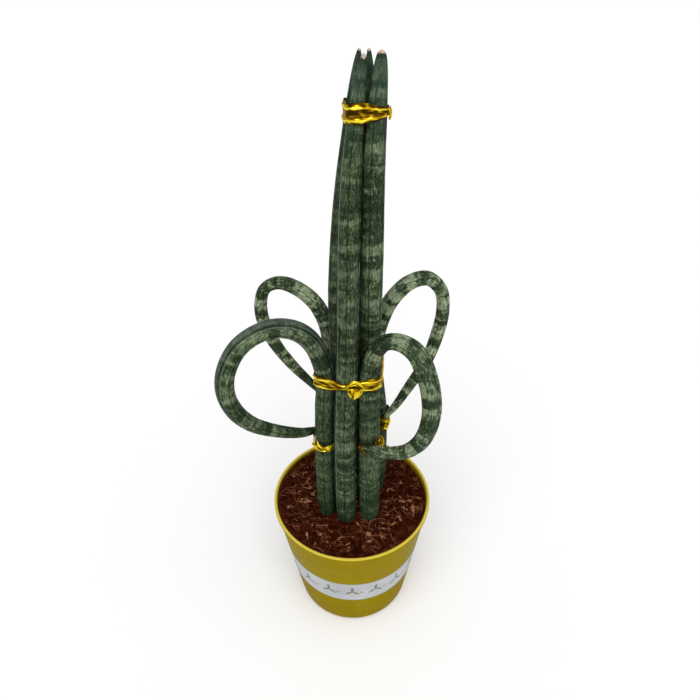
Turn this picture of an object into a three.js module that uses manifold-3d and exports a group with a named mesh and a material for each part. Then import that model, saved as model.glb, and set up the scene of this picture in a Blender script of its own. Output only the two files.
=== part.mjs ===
// A cylindrical snake plant: four tall leaves and four looped ones, held by foil
// twist ties, in a round plastic pot filled with coir. Millimetres, +Z up. The
// origin is the middle of the pot's underside, and -Y is the front.
import * as THREE from 'three';
import { mergeVertices } from 'three/addons/utils/BufferGeometryUtils.js';
import Module from 'manifold-3d';

const wasm = await Module();
wasm.setup();

// ---- Driving dimensions ------------------------------------------------------
const GAP = 0.3;               // clearance between pieces that meet

const POT_HEIGHT = 112;
const POT_BASE_RADIUS = 48.5;
const POT_WALL_TOP_RADIUS = 63.7;   // outside of the wall, just under the lip
const POT_RIM_RADIUS = 65.2;
const POT_WALL = 1.4;
const POT_FLOOR = 3;
const LIP_HEIGHT = 3.6;
const ROUND_SIDES = 40;        // facets round the pot, its band and the soil

const BAND_BOTTOM = 40.8;
const BAND_TOP = 68.9;
const BAND_THICKNESS = 0.6;

const DRAIN_HOLES = 5;
const DRAIN_RADIUS = 4.5;
const DRAIN_CIRCLE = 27;

const SOIL_LEVEL = 106.4;      // in the middle
const SOIL_DISH = 3;           // how much higher it lies along the wall
const SOIL_SLOPE = 0.02;       // how much lower it lies per millimetre to the right
const SOIL_ROUGHNESS = 1.5;    // how far the soil's surface rises and falls
const SOIL_RINGS = 9;
const SOIL_CHIPS = 34;

const HOLE_TOP = 120;          // the holes in the soil are cut up to here or beyond
const HOLE_CLEARANCE = 1.1;    // round a leaf
const HOLE_DEPTH = 1.4;        // below a leaf's buried end
const HOLE_SIDES = 10;
const NECK = 0.26;             // how much narrower a leaf is at its buried end
const NECK_START = 0.03;       // shares of the leaf between which it widens
const NECK_END = 0.115;
const SHOULDER = 0.6;          // share of the leaf where the taper to the tip starts
const TAPER_POWER = 2.4;
const TAPER_ROUNDING = 0.5;    // lower is blunter
const PINCH_SPREAD = 0.06;
const TIP_RADIUS = 1.1;
const GROOVE_DEPTH = 0.07;     // of the leaf's radius
const CHANNEL_DEPTH = 0.17;    // of the leaf's radius, on the side that faced inwards
const GROOVES = 5;             // the first of them is the channel
const GROOVE_HALF_ANGLE = 0.13;
const STRAIGHT_STEPS = 1;      // between two points of a path
const LOOP_STEPS = 2;

const RHIZOME_LEVEL = 75.2;
const RHIZOME_RADIUS = 6.6;

const FOIL = 0.6;              // least thickness of the crumpled foil
const FOIL_REACH = 1;          // how far past a ribbon's edges it still fits the leaves
const FOLD_THICKNESS = 1.3;
const FOLD_STEPS = 2;          // between two points of a fold's path
const TIE_CLEARANCE = 0.8;
// A ribbon's outside from its upper to its lower edge: the height as a share of its
// half-height, and the thickness in layers of foil. Two strands stand out as ridges.
const RIBBON_SECTION = [[1, 1], [0.55, 2], [0, 1], [-0.6, 1.9], [-1, 1]];

// ---- Leaves --------------------------------------------------------------------
// foot and shoulder are diameters, inwards is the way the channel faces at the foot,
// and path is the centre line from the buried end to the tip. A pinch is where a bend
// has narrowed the leaf, and blunt replaces the usual rounding of the taper.
const LEAVES = {
  leaf_front_centre: {
    foot: 17.8, shoulder: 15, inwards: [-0.98, -0.2, 0],
    path: [
      [-4.6, -17.5, 82], [-4.8, -19.2, 106], [-4.8, -19.2, 124], [-4.8, -18.2, 150],
      [-4.4, -15.8, 190], [-2.4, -13.5, 241], [-0.4, -9.8, 300], [0.9, -7.8, 346],
      [3.2, -5.8, 388], [6, -4, 414], [8.6, -3.4, 432], [10.4, -3.2, 443],
    ],
  },
  leaf_right: {
    foot: 16.8, shoulder: 14.6, blunt: 0.32, inwards: [-1, 0, 0],
    path: [
      [8, 4, 82], [9, 5, 106], [9.4, 5.4, 124], [10, 5.8, 150], [11.4, 6, 190],
      [14.6, 5.4, 241], [15.2, 2.4, 288], [15.4, -2, 340], [15.7, -3.7, 382], [17, -3.6, 410],
      [18.3, -2.8, 430], [19.2, -2.4, 441], [19.4, -2.2, 444.4],
    ],
  },
  leaf_left: {
    foot: 16.4, shoulder: 14.4, inwards: [1, 0, 0],
    path: [
      [-7, 6, 82], [-7.6, 6.6, 106], [-7.4, 7, 124], [-7, 7.2, 150], [-6.4, 7.6, 190],
      [-6.2, 7.4, 241], [-6.3, 6.8, 296], [-3.8, 7, 336], [-0.3, 7, 372], [3.4, 6.4, 402],
      [6.6, 5.8, 430], [8.2, 5.4, 444.4],
    ],
  },
  leaf_back: {
    foot: 15, shoulder: 13, inwards: [0, -1, 0],
    path: [
      [1, 19, 82], [1.4, 21, 106], [1.6, 21.4, 124], [1.8, 21.4, 150], [2, 20.8, 195],
      [2.2, 20, 241], [5.4, 18.4, 300], [10, 13.4, 355], [13.6, 9.2, 394], [13.8, 7.6, 416],
      [13.5, 6.7, 432], [13.3, 6.1, 444.2],
    ],
  },
  loop_front_left: {
    foot: 15.8, shoulder: 13.6, inwards: [0.9, -0.42, 0], pinch: { at: 0.6, by: 0.05 },
    path: [
      [-18, -11.5, 82], [-20.2, -13.2, 106], [-20.6, -12, 124], [-20.6, -9.6, 150],
      [-20, -6.4, 178], [-18.8, -5.6, 212], [-17, -6, 241], [-24.2, -8, 269.9],
      [-34.4, -11, 282.6], [-47, -14, 287], [-59.8, -17, 284.5], [-73, -20, 275],
      [-82.2, -23, 258], [-84.5, -23, 239.8], [-80.1, -21, 221.7], [-70.3, -17, 206.3],
      [-55.1, -11, 194.3], [-38, -5, 186.4], [-31, -0.4, 183.6], [-26.4, 4, 180.5],
      [-25, 5, 172.5],
    ],
  },
  loop_front_right: {
    foot: 17.6, shoulder: 14.4, blunt: 0.42, inwards: [-1, 0, 0], pinch: { at: 0.56, by: 0.24 },
    path: [
      [13, -15, 82], [13.8, -17.6, 106], [13.8, -17.4, 124], [13.7, -16, 147], [13.8, -13, 190],
      [13.9, -10.8, 241], [18, -12, 265], [25, -13.5, 274], [34, -16, 275], [43.9, -20, 269.4],
      [51.7, -26, 253], [55.2, -31, 234], [54, -33, 216], [48.3, -32.4, 199.6],
      [38.4, -31, 190.1], [25, -30, 188.8], [15.5, -28.4, 190], [10, -26.4, 189.8],
      [6, -24, 189.2],
    ],
  },
  loop_back_left: {
    foot: 15.6, shoulder: 11, inwards: [1, 0, 0], pinch: { at: 0.69, by: 0.2 },
    path: [
      [-18, 17, 82], [-19, 19, 106], [-18.5, 20, 147], [-16.6, 21.4, 200], [-13.4, 20.6, 241],
      [-16.4, 19.5, 270.3], [-24, 19.8, 287], [-35.2, 21.7, 296.6], [-47, 23.5, 300.2],
      [-57.3, 25.5, 295.3], [-62.4, 28, 281], [-61.6, 30, 261.7], [-54.5, 29.4, 243.6],
      [-42, 22.4, 229], [-30, 16, 219], [-23.6, 12.6, 213], [-20, 11, 203],
    ],
  },
  loop_back_right: {
    foot: 16, shoulder: 11, inwards: [-1, 0, 0], pinch: { at: 0.68, by: 0.12 },
    path: [
      [19, 12.5, 82], [21.2, 14.2, 106], [22, 16.6, 124], [22.6, 19, 147], [22.6, 21, 184],
      [18.4, 20.8, 241], [22.8, 19.8, 269.2], [31, 20.4, 288], [43, 22.5, 299.3], [55, 24.4, 301],
      [65, 26.4, 291], [68.4, 29, 272], [66.4, 30.6, 252], [59, 27.6, 228], [45.4, 19, 209.6],
      [35, 12, 197], [28.4, 9.4, 190], [24.6, 10.2, 180],
    ],
  },
};
const isLoop = (name) => name.startsWith('loop_');

// ---- Ties ----------------------------------------------------------------------
// Each ring lies in the plane through at, square to normal, and goes round the named
// stretches of leaf, as a ribbon of half-height half that is gathered to tight at its
// knot, over the distance gather. The ribbon's height runs along lean, or else along
// normal. A fold is a loose end or a strand of foil: its path, and its width at the
// start and at the tip.
const STEM = [0, 0.5];
const TIP = [0.93, 1];
const ALL_STEMS = Object.keys(LEAVES).map((name) => [name, STEM]);
const TALL_LEAVES = Object.keys(LEAVES).filter((name) => !isLoop(name)).map((name) => [name, [0, 1]]);
const TIES = {
  tie_middle: {
    rings: [{
      at: [1, 2, 238.4], normal: [0, 0.2, 1], steps: 46, half: 4.8, tight: 1.9,
      knot: [-2.9, -23.5, 243.7], gather: 16, round: ALL_STEMS,
    }],
    folds: [
      {
        path: [
          [-2.6, -23.8, 243.4], [0, -24.8, 247.4], [3.2, -25, 249.6], [6.8, -24.4, 247],
          [9.6, -22.2, 241.6],
        ],
        width: 3,
        tip: 2.4,
      },
      { path: [[3.4, -23.2, 242.6], [3.4, -24.8, 239], [2.8, -25, 235.4]], width: 13, tip: 6 },
    ],
  },
  tie_top: {
    rings: [{
      at: [10, 1, 415.2], normal: [-0.015, 0.05, 1], lean: [0.06, 0.02, 1], steps: 30,
      half: 5.4, tight: 2.4, knot: [24, -5, 414.6], gather: 18, round: TALL_LEAVES,
    }],
    folds: [
      { path: [[24, -6, 418], [24.8, -5.6, 414.8], [24.2, -5.8, 411.6]], width: 3.8, tip: 2.6 },
    ],
  },
  tie_front_left: {
    rings: [{
      at: [-20, -3, 176.6], normal: [0, 0.1, 1], steps: 24, half: 3, tight: 2.4,
      knot: [-19.6, -15, 178], gather: 9,
      round: [['loop_front_left', STEM], ['loop_front_left', TIP]],
    }],
    folds: [
      { path: [[-22.4, -15.2, 177.6], [-26.8, -12.4, 178.4], [-29.4, -9, 179.4]], width: 5, tip: 3.6 },
      { path: [[-21.8, -15.4, 178.4], [-23.6, -16.2, 183.6], [-24.8, -16, 188.4]], width: 5.4, tip: 1.4 },
      { path: [[-19, -15.4, 177.6], [-16.8, -16.2, 180], [-14.8, -16.4, 183.2]], width: 4.2, tip: 1.2 },
    ],
  },
  tie_front_right: {
    rings: [
      {
        at: [14.6, -13.3, 183.8], normal: [-0.2, 0, 1], steps: 22, half: 1.8, tight: 1.6,
        knot: [21.4, -20.2, 185], gather: 9, round: [['loop_front_right', STEM]],
      },
      {
        at: [9, -25.9, 189.8], normal: [-0.8, 0.3, -0.5], steps: 12, half: 1.1, tight: 0.9,
        knot: [10, -21, 190], gather: 5, round: [['loop_front_right', TIP]],
      },
    ],
    folds: [
      { path: [[21.4, -20.8, 184.4], [21.6, -21.8, 189.4], [21.4, -21.4, 194.4]], width: 8, tip: 3.4 },
      {
        path: [
          [20, -21.2, 185.4], [18.8, -21.8, 191.6], [21.4, -21.6, 197.3], [24, -20.8, 191.6],
          [23, -21.2, 185.4],
        ],
        width: 1.6,
        tip: 1.6,
      },
      { path: [[9.8, -22.2, 182.6], [9.8, -22.2, 190.6]], width: 4.4, tip: 3 },
    ],
  },
  tie_back_left: {
    rings: [{
      at: [-18, 16, 206], normal: [0, 0, 1], steps: 24, half: 2.4, tight: 1.6,
      knot: [-17, 29, 206], gather: 9, round: [['loop_back_left', STEM], ['loop_back_left', TIP]],
    }],
    folds: [
      { path: [[-17.6, 29.8, 206], [-20, 32, 201.6]], width: 4, tip: 1 },
      { path: [[-15.6, 29.8, 206], [-13, 32, 209.6]], width: 3.6, tip: 1 },
    ],
  },
  tie_back_right: {
    rings: [{
      at: [22.6, 15, 182.4], normal: [0.1, 0, 1], steps: 24, half: 6.4, tight: 2.2,
      knot: [22, 29.5, 184], gather: 12,
      round: [['loop_back_right', STEM], ['loop_back_right', TIP]],
    }],
    folds: [
      { path: [[29.8, 8.4, 187.2], [30.4, 8, 183.6], [29.6, 8.2, 180.4]], width: 3.2, tip: 2.4 },
      { path: [[31.2, 20, 184.4], [34, 21.6, 182]], width: 3.4, tip: 1 },
    ],
  },
};

// ---- Materials -----------------------------------------------------------------
const material = (color, roughness, metalness = 0) => (
  new THREE.MeshStandardMaterial({ color, roughness, metalness })
);
const LEAF_GREEN = material(0x4b6148, 0.55);
const POT_YELLOW = material(0xa08c00, 0.25);
const BAND_WHITE = material(0xd3d3e2, 0.35);
const COIR_BROWN = material(0x4a2418, 0.95);
const RHIZOME_ORANGE = material(0xb98650, 0.8);
const FOIL_GOLD = material(0xd9ae1c, 0.22, 1);

// ---- Helpers -------------------------------------------------------------------

const vector = (list) => new THREE.Vector3(...list);

/** A repeatable number from 0 to 1 for each whole number. */
function scatter(index, salt) {
  const wave = Math.sin(index * 127.1 + salt * 311.7) * 43758.5453;
  return wave - Math.floor(wave);
}

/** A closed geometry as a solid that can be joined and cut. */
function solid(geometry) {
  const bare = geometry.clone();
  bare.deleteAttribute('normal');
  bare.deleteAttribute('uv');
  const merged = mergeVertices(bare, 1e-4);
  return new wasm.Manifold(new wasm.Mesh({
    numProp: 3,
    vertProperties: new Float32Array(merged.attributes.position.array),
    triVerts: new Uint32Array(merged.index.array),
  }));
}

/** The biggest of some solids: a cut can leave loose scraps beside it. */
const largest = (solids) => solids.reduce((best, one) => (one.volume() > best.volume() ? one : best));

/** A solid back as a geometry. */
function geometryOf(manifold) {
  const mesh = manifold.getMesh();
  const geometry = new THREE.BufferGeometry();
  geometry.setAttribute('position', new THREE.BufferAttribute(mesh.vertProperties, 3));
  geometry.setIndex(new THREE.BufferAttribute(mesh.triVerts, 1));
  return geometry;
}

/** Rings of points joined into a tube, with its ends closed, or joined to each other. */
function skin(rings, endless = false) {
  const sides = rings[0].length;
  const positions = rings.flat().flatMap((point) => point.toArray());
  const index = [];
  const joins = endless ? rings.length : rings.length - 1;
  for (let ring = 0; ring < joins; ring += 1) {
    const next = (ring + 1) % rings.length;
    for (let side = 0; side < sides; side += 1) {
      const beside = (side + 1) % sides;
      const [a, b] = [ring * sides + side, ring * sides + beside];
      const [c, d] = [next * sides + side, next * sides + beside];
      index.push(a, b, d, a, d, c);
    }
  }
  if (!endless) {
    const centres = [rings[0], rings.at(-1)].map((ring) => (
      ring.reduce((sum, point) => sum.add(point), new THREE.Vector3()).divideScalar(sides)
    ));
    const first = positions.length / 3;
    positions.push(...centres[0].toArray(), ...centres[1].toArray());
    const last = (rings.length - 1) * sides;
    for (let side = 0; side < sides; side += 1) {
      const beside = (side + 1) % sides;
      index.push(first, beside, side);
      index.push(first + 1, last + side, last + beside);
    }
  }
  const geometry = new THREE.BufferGeometry();
  geometry.setAttribute('position', new THREE.Float32BufferAttribute(positions, 3));
  geometry.setIndex(index);
  return geometry;
}

/** Outside radius of the pot's wall at a height. */
function wallRadius(height) {
  const share = height / (POT_HEIGHT - LIP_HEIGHT);
  return THREE.MathUtils.lerp(POT_BASE_RADIUS, POT_WALL_TOP_RADIUS, share);
}

// ---- Leaf shape ----------------------------------------------------------------

/**
 * A leaf's radius at a share of its length. It widens above the buried end, narrows
 * slowly up to the shoulder and then rounds off to the tip.
 */
function leafRadius(leaf, share) {
  const neck = 1 - NECK * (1 - THREE.MathUtils.smoothstep(share, NECK_START, NECK_END));
  const pinch = leaf.pinch
    ? 1 - leaf.pinch.by * Math.exp(-(((share - leaf.pinch.at) / PINCH_SPREAD) ** 2))
    : 1;
  const body = THREE.MathUtils.lerp(leaf.foot, leaf.shoulder, Math.min(share / SHOULDER, 1)) / 2;
  const beyond = Math.max((share - SHOULDER) / (1 - SHOULDER), 0);
  const taper = (1 - beyond ** TAPER_POWER) ** (leaf.blunt ?? TAPER_ROUNDING);
  return Math.max(body * neck * pinch * taper, TIP_RADIUS);
}

/** Places along a leaf, each with its centre, direction, share of length and radius. */
function leafPlaces(leaf, stepsPerSpan) {
  const curve = new THREE.CatmullRomCurve3(leaf.path.map(vector), false, 'centripetal');
  const count = (leaf.path.length - 1) * stepsPerSpan;
  const places = [];
  let length = 0;
  for (let step = 0; step <= count; step += 1) {
    const centre = curve.getPoint(step / count);
    if (step > 0) length += centre.distanceTo(places[step - 1].centre);
    places.push({ centre, along: curve.getTangent(step / count), length });
  }
  places.forEach((place) => {
    place.share = place.length / length;
    place.radius = leafRadius(leaf, place.share);
  });
  return places;
}

/** The section's outline as angles and depths: shallow grooves and one deeper channel. */
function grooveSection() {
  const outline = [];
  for (let groove = 0; groove < GROOVES; groove += 1) {
    const middle = (groove / GROOVES) * 2 * Math.PI;
    const depth = groove === 0 ? CHANNEL_DEPTH : GROOVE_DEPTH;
    const half = groove === 0 ? GROOVE_HALF_ANGLE * 2 : GROOVE_HALF_ANGLE;
    outline.push({ angle: middle - half, depth: 0 });
    outline.push({ angle: middle, depth });
    outline.push({ angle: middle + half, depth: 0 });
    outline.push({ angle: middle + Math.PI / GROOVES, depth: 0 });
  }
  return outline;
}

/** Sections at a leaf's places, turned so that the channel never twists. */
function leafRings(leaf, places, outline, extra = 0) {
  const outwards = vector(leaf.inwards);
  return places.map(({ centre, along, radius }) => {
    outwards.addScaledVector(along, -outwards.dot(along)).normalize();
    const sideways = new THREE.Vector3().crossVectors(along, outwards);
    return outline.map(({ angle, depth }) => {
      const reach = radius * (1 - depth) + extra;
      return centre.clone()
        .addScaledVector(outwards, reach * Math.cos(angle))
        .addScaledVector(sideways, reach * Math.sin(angle));
    });
  });
}

function leafGeometry(name, leaf) {
  const steps = isLoop(name) ? LOOP_STEPS : STRAIGHT_STEPS;
  return skin(leafRings(leaf, leafPlaces(leaf, steps), grooveSection()));
}

/** The plain hole in the soil that a leaf stands in. */
function leafHole(leaf) {
  const outline = Array.from({ length: HOLE_SIDES }, (_, side) => (
    { angle: (side / HOLE_SIDES) * 2 * Math.PI, depth: 0 }
  ));
  const places = leafPlaces(leaf, LOOP_STEPS);
  const above = places.findIndex(({ centre }) => centre.z > HOLE_TOP);
  places[0].centre.z -= HOLE_DEPTH;
  return solid(skin(leafRings(leaf, places.slice(0, above + 1), outline, HOLE_CLEARANCE)));
}

// ---- Pot and band --------------------------------------------------------------

function pot() {
  const recess = BAND_THICKNESS + GAP;
  const [low, high] = [BAND_BOTTOM - GAP, BAND_TOP + GAP];
  const lipBottom = POT_HEIGHT - LIP_HEIGHT;
  const inside = (height) => wallRadius(height) - POT_WALL;
  const profile = [
    [0, 0], [POT_BASE_RADIUS - 3.4, 0], [POT_BASE_RADIUS - 1.2, 1.2], [wallRadius(4.6), 4.6],
    [wallRadius(low), low], [wallRadius(low) - recess, low],
    [wallRadius(high) - recess, high], [wallRadius(high), high],
    [wallRadius(lipBottom), lipBottom], [POT_RIM_RADIUS - 0.5, lipBottom + 0.4],
    [POT_RIM_RADIUS, lipBottom + 1.2], [POT_RIM_RADIUS, POT_HEIGHT - 0.8],
    [POT_RIM_RADIUS - 0.8, POT_HEIGHT], [POT_RIM_RADIUS - 1.8, POT_HEIGHT],
    [inside(lipBottom) + 0.5, POT_HEIGHT - 1], [inside(lipBottom), lipBottom],
    [inside(POT_FLOOR + 3), POT_FLOOR + 3], [inside(POT_FLOOR) - 2.6, POT_FLOOR], [0, POT_FLOOR],
  ].map(([radius, height]) => new THREE.Vector2(radius, height));
  const shell = solid(new THREE.LatheGeometry(profile, ROUND_SIDES).rotateX(Math.PI / 2));
  let drained = shell;
  for (let hole = 0; hole < DRAIN_HOLES; hole += 1) {
    const turn = (hole / DRAIN_HOLES) * 2 * Math.PI;
    const cutter = new THREE.CylinderGeometry(DRAIN_RADIUS, DRAIN_RADIUS, POT_FLOOR * 3, 10)
      .rotateX(Math.PI / 2)
      .translate(DRAIN_CIRCLE * Math.cos(turn), DRAIN_CIRCLE * Math.sin(turn), 0);
    drained = drained.subtract(solid(cutter));
  }
  return geometryOf(drained);
}

function labelBand() {
  const [low, high] = [wallRadius(BAND_BOTTOM), wallRadius(BAND_TOP)];
  const profile = [
    [low - BAND_THICKNESS, BAND_BOTTOM], [low, BAND_BOTTOM],
    [high, BAND_TOP], [high - BAND_THICKNESS, BAND_TOP],
    [low - BAND_THICKNESS, BAND_BOTTOM],
  ].map(([radius, height]) => new THREE.Vector2(radius, height));
  return new THREE.LatheGeometry(profile, ROUND_SIDES).rotateX(Math.PI / 2);
}

// ---- Soil and rhizome ----------------------------------------------------------

/** The creeping root: knobbly bars under the rows of leaves, and one across them. */
function rhizome(extra = 0) {
  const bars = [
    [[-18, -11], [-4.5, -16], [13.5, -14]],
    [[-11, 3], [-1, 2], [9, 2]],
    [[-18, 17], [0, 16], [18.5, 13]],
    [[-4, -15], [-1, 2], [0, 16]],
  ];
  const sides = 6;
  const parts = bars.map((bar) => {
    const curve = new THREE.CatmullRomCurve3(bar.map(([x, y]) => new THREE.Vector3(x, y, RHIZOME_LEVEL)));
    const steps = 4;
    const rings = [];
    for (let step = 0; step <= steps; step += 1) {
      const along = curve.getTangent(step / steps);
      const across = new THREE.Vector3(-along.y, along.x, 0).normalize();
      const knob = step % 2 === 0 ? 1 : 0.88;
      const radius = RHIZOME_RADIUS * (step === 0 || step === steps ? 0.75 : knob) + extra;
      const centre = curve.getPoint(step / steps);
      if (step === 0) centre.addScaledVector(along, -extra);
      if (step === steps) centre.addScaledVector(along, extra);
      rings.push(Array.from({ length: sides }, (_, side) => {
        const angle = ((side + 0.5) / sides) * 2 * Math.PI;
        return centre.clone()
          .addScaledVector(across, radius * Math.cos(angle))
          .add(new THREE.Vector3(0, 0, radius * Math.sin(angle)));
      }));
    }
    return solid(skin(rings));
  });
  return parts.reduce((whole, bar) => whole.add(bar));
}

/** Height of the soil's rough surface at a place: dished, and lower on the right. */
function soilHeight(x, y) {
  const dish = SOIL_DISH * (Math.hypot(x, y) / POT_WALL_TOP_RADIUS) ** 3;
  const swell = Math.sin(x * 0.11 + 1.3) * Math.cos(y * 0.09 + 0.4);
  const lumps = Math.sin(x * 0.53 + y * 0.31) * Math.sin(y * 0.47 - x * 0.22 + 2);
  return SOIL_LEVEL + dish - SOIL_SLOPE * x + SOIL_ROUGHNESS * (0.35 * swell + 0.65 * lumps);
}

/** The fill of the pot: a rough top on plain sides that stand clear of the wall. */
function soilBody() {
  const bottom = POT_FLOOR + GAP;
  const edge = (height) => wallRadius(height) - POT_WALL - GAP - 0.1;
  const circle = (radius, height) => Array.from({ length: ROUND_SIDES }, (_, side) => {
    const turn = (side / ROUND_SIDES) * 2 * Math.PI;
    const [x, y] = [radius * Math.sin(turn), radius * Math.cos(turn)];
    return new THREE.Vector3(x, y, height(x, y));
  }).reverse();
  const rings = [
    circle(edge(bottom) - 2.8, () => bottom),
    circle(edge(bottom + 3.2), () => bottom + 3.2),
    circle(edge(SOIL_LEVEL - 3), () => SOIL_LEVEL - 3),
  ];
  const brink = edge(SOIL_LEVEL + SOIL_DISH) - GAP;
  for (let ring = SOIL_RINGS; ring > 0; ring -= 1) {
    rings.push(circle(brink * (ring / SOIL_RINGS), soilHeight));
  }
  return solid(skin(rings));
}

/** Chips and strands of husk that lie half sunk on the soil. */
function soilChips() {
  const chips = [];
  for (let chip = 0; chip < SOIL_CHIPS; chip += 1) {
    const distance = 25 + 30 * Math.sqrt(scatter(chip, 1));
    const turn = chip * 2.399963;
    const [x, y] = [distance * Math.cos(turn), distance * Math.sin(turn)];
    const length = 5 + 7 * scatter(chip, 2);
    const [width, height] = [1.2 + 1.8 * scatter(chip, 3), 1.4 + 0.8 * scatter(chip, 4)];
    const box = new THREE.BoxGeometry(length, width, height)
      .rotateY((scatter(chip, 5) - 0.5) * 0.5)
      .rotateZ(scatter(chip, 6) * Math.PI)
      .translate(x, y, soilHeight(x, y) + 0.3);
    chips.push(solid(box));
  }
  return chips;
}

function soil() {
  let fill = soilBody();
  soilChips().forEach((chip) => { fill = fill.add(chip); });
  Object.values(LEAVES).forEach((leaf) => { fill = fill.subtract(leafHole(leaf)); });
  const whole = fill.subtract(rhizome(0.4));
  return geometryOf(largest(whole.decompose()));
}

// ---- Ties ----------------------------------------------------------------------

/** Circles that the named stretches of leaf make in a ring's plane, seen along its lean. */
function circlesInPlane(ring, across, upwards, square, lean) {
  const origin = vector(ring.at);
  const circles = [];
  ring.round.forEach(([name, [start, end]]) => {
    leafPlaces(LEAVES[name], 30).forEach(({ centre, radius, share }) => {
      const from = centre.clone().sub(origin);
      const height = from.dot(square);
      if (share < start || share > end || Math.abs(height) > ring.half + FOIL_REACH) return;
      from.addScaledVector(lean, -height / lean.dot(square));
      circles.push({ centre: new THREE.Vector2(from.dot(across), from.dot(upwards)), radius });
    });
  });
  return circles;
}

/** The shortest way round some circles, in even steps. */
function wayRound(circles, steps) {
  const fine = 240;
  const outline = Array.from({ length: fine + 1 }, (_, index) => {
    const turn = ((index % fine) / fine) * 2 * Math.PI;
    const out = new THREE.Vector2(Math.cos(turn), Math.sin(turn));
    const reach = ({ centre, radius }) => centre.dot(out) + radius;
    const far = circles.reduce((best, circle) => (reach(circle) > reach(best) ? circle : best));
    return far.centre.clone().addScaledVector(out, far.radius + TIE_CLEARANCE);
  });
  return new THREE.Path(outline).getSpacedPoints(steps).slice(0, steps);
}

const SKIN_PLACES = Object.values(LEAVES).flatMap((leaf) => leafPlaces(leaf, 20));

/** How far a point is from the nearest leaf's skin. */
const roomAt = (point) => SKIN_PLACES.reduce((least, { centre, radius }) => (
  Math.min(least, centre.distanceTo(point) - radius)
), Infinity);

/** A crumpled ribbon of foil round the leaves, lying flat where another leaf is close. */
function foilRing(ring, salt) {
  const square = vector(ring.normal).normalize();
  const lean = vector(ring.lean ?? ring.normal).normalize();
  const across = new THREE.Vector3(1, 0, 0).addScaledVector(square, -square.x).normalize();
  const upwards = new THREE.Vector3().crossVectors(square, across);
  const way = wayRound(circlesInPlane(ring, across, upwards, square, lean), ring.steps);
  const sections = way.map((place, step) => {
    const before = way[(step + way.length - 1) % way.length];
    const after = way[(step + 1) % way.length];
    const run = after.clone().sub(before).normalize();
    const out = new THREE.Vector2(run.y, -run.x);
    const drift = 0.5 * (scatter(step, salt + 5) - 0.5);
    const corner = (outwards, height) => {
      const flat = place.clone().addScaledVector(out, outwards);
      return vector(ring.at)
        .addScaledVector(across, flat.x)
        .addScaledVector(upwards, flat.y)
        .addScaledVector(lean, height + drift);
    };
    const fromKnot = corner(0, 0).distanceTo(vector(ring.knot));
    const spread = THREE.MathUtils.smoothstep(fromKnot, 0, ring.gather);
    const half = THREE.MathUtils.lerp(ring.tight, ring.half, spread) * (0.9 + 0.2 * scatter(step, salt));
    const crease = FOIL * (1 + 0.2 * scatter(step, salt + 9));
    const outside = RIBBON_SECTION.map(([height, layers]) => {
      const point = corner(crease * layers, half * height);
      return roomAt(point) > GAP ? point : corner(FOIL, half * height);
    });
    return [...outside, corner(0, -half), corner(0, half)];
  });
  return solid(skin(sections, true));
}

/** A loose end or a strand of foil along a path, its flat side away from the tie's middle. */
function foilFold({ path, width, tip }, [middleX, middleY]) {
  const curve = new THREE.CatmullRomCurve3(path.map(vector));
  const steps = (path.length - 1) * FOLD_STEPS;
  const sections = Array.from({ length: steps + 1 }, (_, step) => {
    const centre = curve.getPoint(step / steps);
    const along = curve.getTangent(step / steps);
    const outwards = new THREE.Vector3(centre.x - middleX, centre.y - middleY, 0);
    outwards.addScaledVector(along, -outwards.dot(along)).setLength(FOLD_THICKNESS / 2);
    const sideways = new THREE.Vector3().crossVectors(along, outwards)
      .setLength(THREE.MathUtils.lerp(width, tip, step / steps) / 2);
    return [outwards, sideways, outwards.clone().negate(), sideways.clone().negate()]
      .map((offset) => offset.add(centre));
  });
  return solid(skin(sections));
}

function tie({ rings, folds }, salt) {
  const ribbons = rings.map((ring, index) => foilRing(ring, salt + index * 3));
  const pieces = [...ribbons, ...folds.map((fold) => foilFold(fold, rings[0].at))];
  return geometryOf(pieces.reduce((whole, piece) => whole.add(piece)));
}

// ---- The whole plant -----------------------------------------------------------
const plant = new THREE.Group();

function place(name, geometry, look) {
  const mesh = new THREE.Mesh(geometry, look);
  mesh.name = name;
  plant.add(mesh);
}

place('pot', pot(), POT_YELLOW);
place('label_band', labelBand(), BAND_WHITE);
place('soil', soil(), COIR_BROWN);
place('rhizome', geometryOf(rhizome()), RHIZOME_ORANGE);
Object.entries(LEAVES).forEach(([name, leaf]) => place(name, leafGeometry(name, leaf), LEAF_GREEN));
Object.entries(TIES).forEach(([name, parts], index) => place(name, tie(parts, index + 1), FOIL_GOLD));

export default plant;
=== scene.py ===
"""The looks of a potted cylindrical snake plant: grooved, cross-banded leaves, crumpled
foil ties, coir and a glossy pot. Metres, in the frame of the solid model, whose sizes
are repeated here in millimetres."""
import math
import random

import bmesh
import bpy
import numpy as np
from mathutils import Matrix, Vector, noise


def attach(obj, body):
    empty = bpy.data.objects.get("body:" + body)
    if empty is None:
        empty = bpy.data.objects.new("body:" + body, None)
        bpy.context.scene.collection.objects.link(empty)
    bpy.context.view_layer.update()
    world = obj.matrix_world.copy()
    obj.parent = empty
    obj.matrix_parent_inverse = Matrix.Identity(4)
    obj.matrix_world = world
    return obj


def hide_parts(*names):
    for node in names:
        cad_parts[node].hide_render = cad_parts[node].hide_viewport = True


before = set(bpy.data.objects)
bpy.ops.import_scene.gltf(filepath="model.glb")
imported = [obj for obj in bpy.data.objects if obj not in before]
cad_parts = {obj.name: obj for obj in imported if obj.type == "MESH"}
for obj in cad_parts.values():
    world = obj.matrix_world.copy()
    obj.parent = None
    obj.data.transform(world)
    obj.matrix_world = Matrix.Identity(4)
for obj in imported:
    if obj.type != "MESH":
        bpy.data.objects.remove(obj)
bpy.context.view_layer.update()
BODY = "root"
MM = 0.001
TAU = 2 * math.pi

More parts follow.
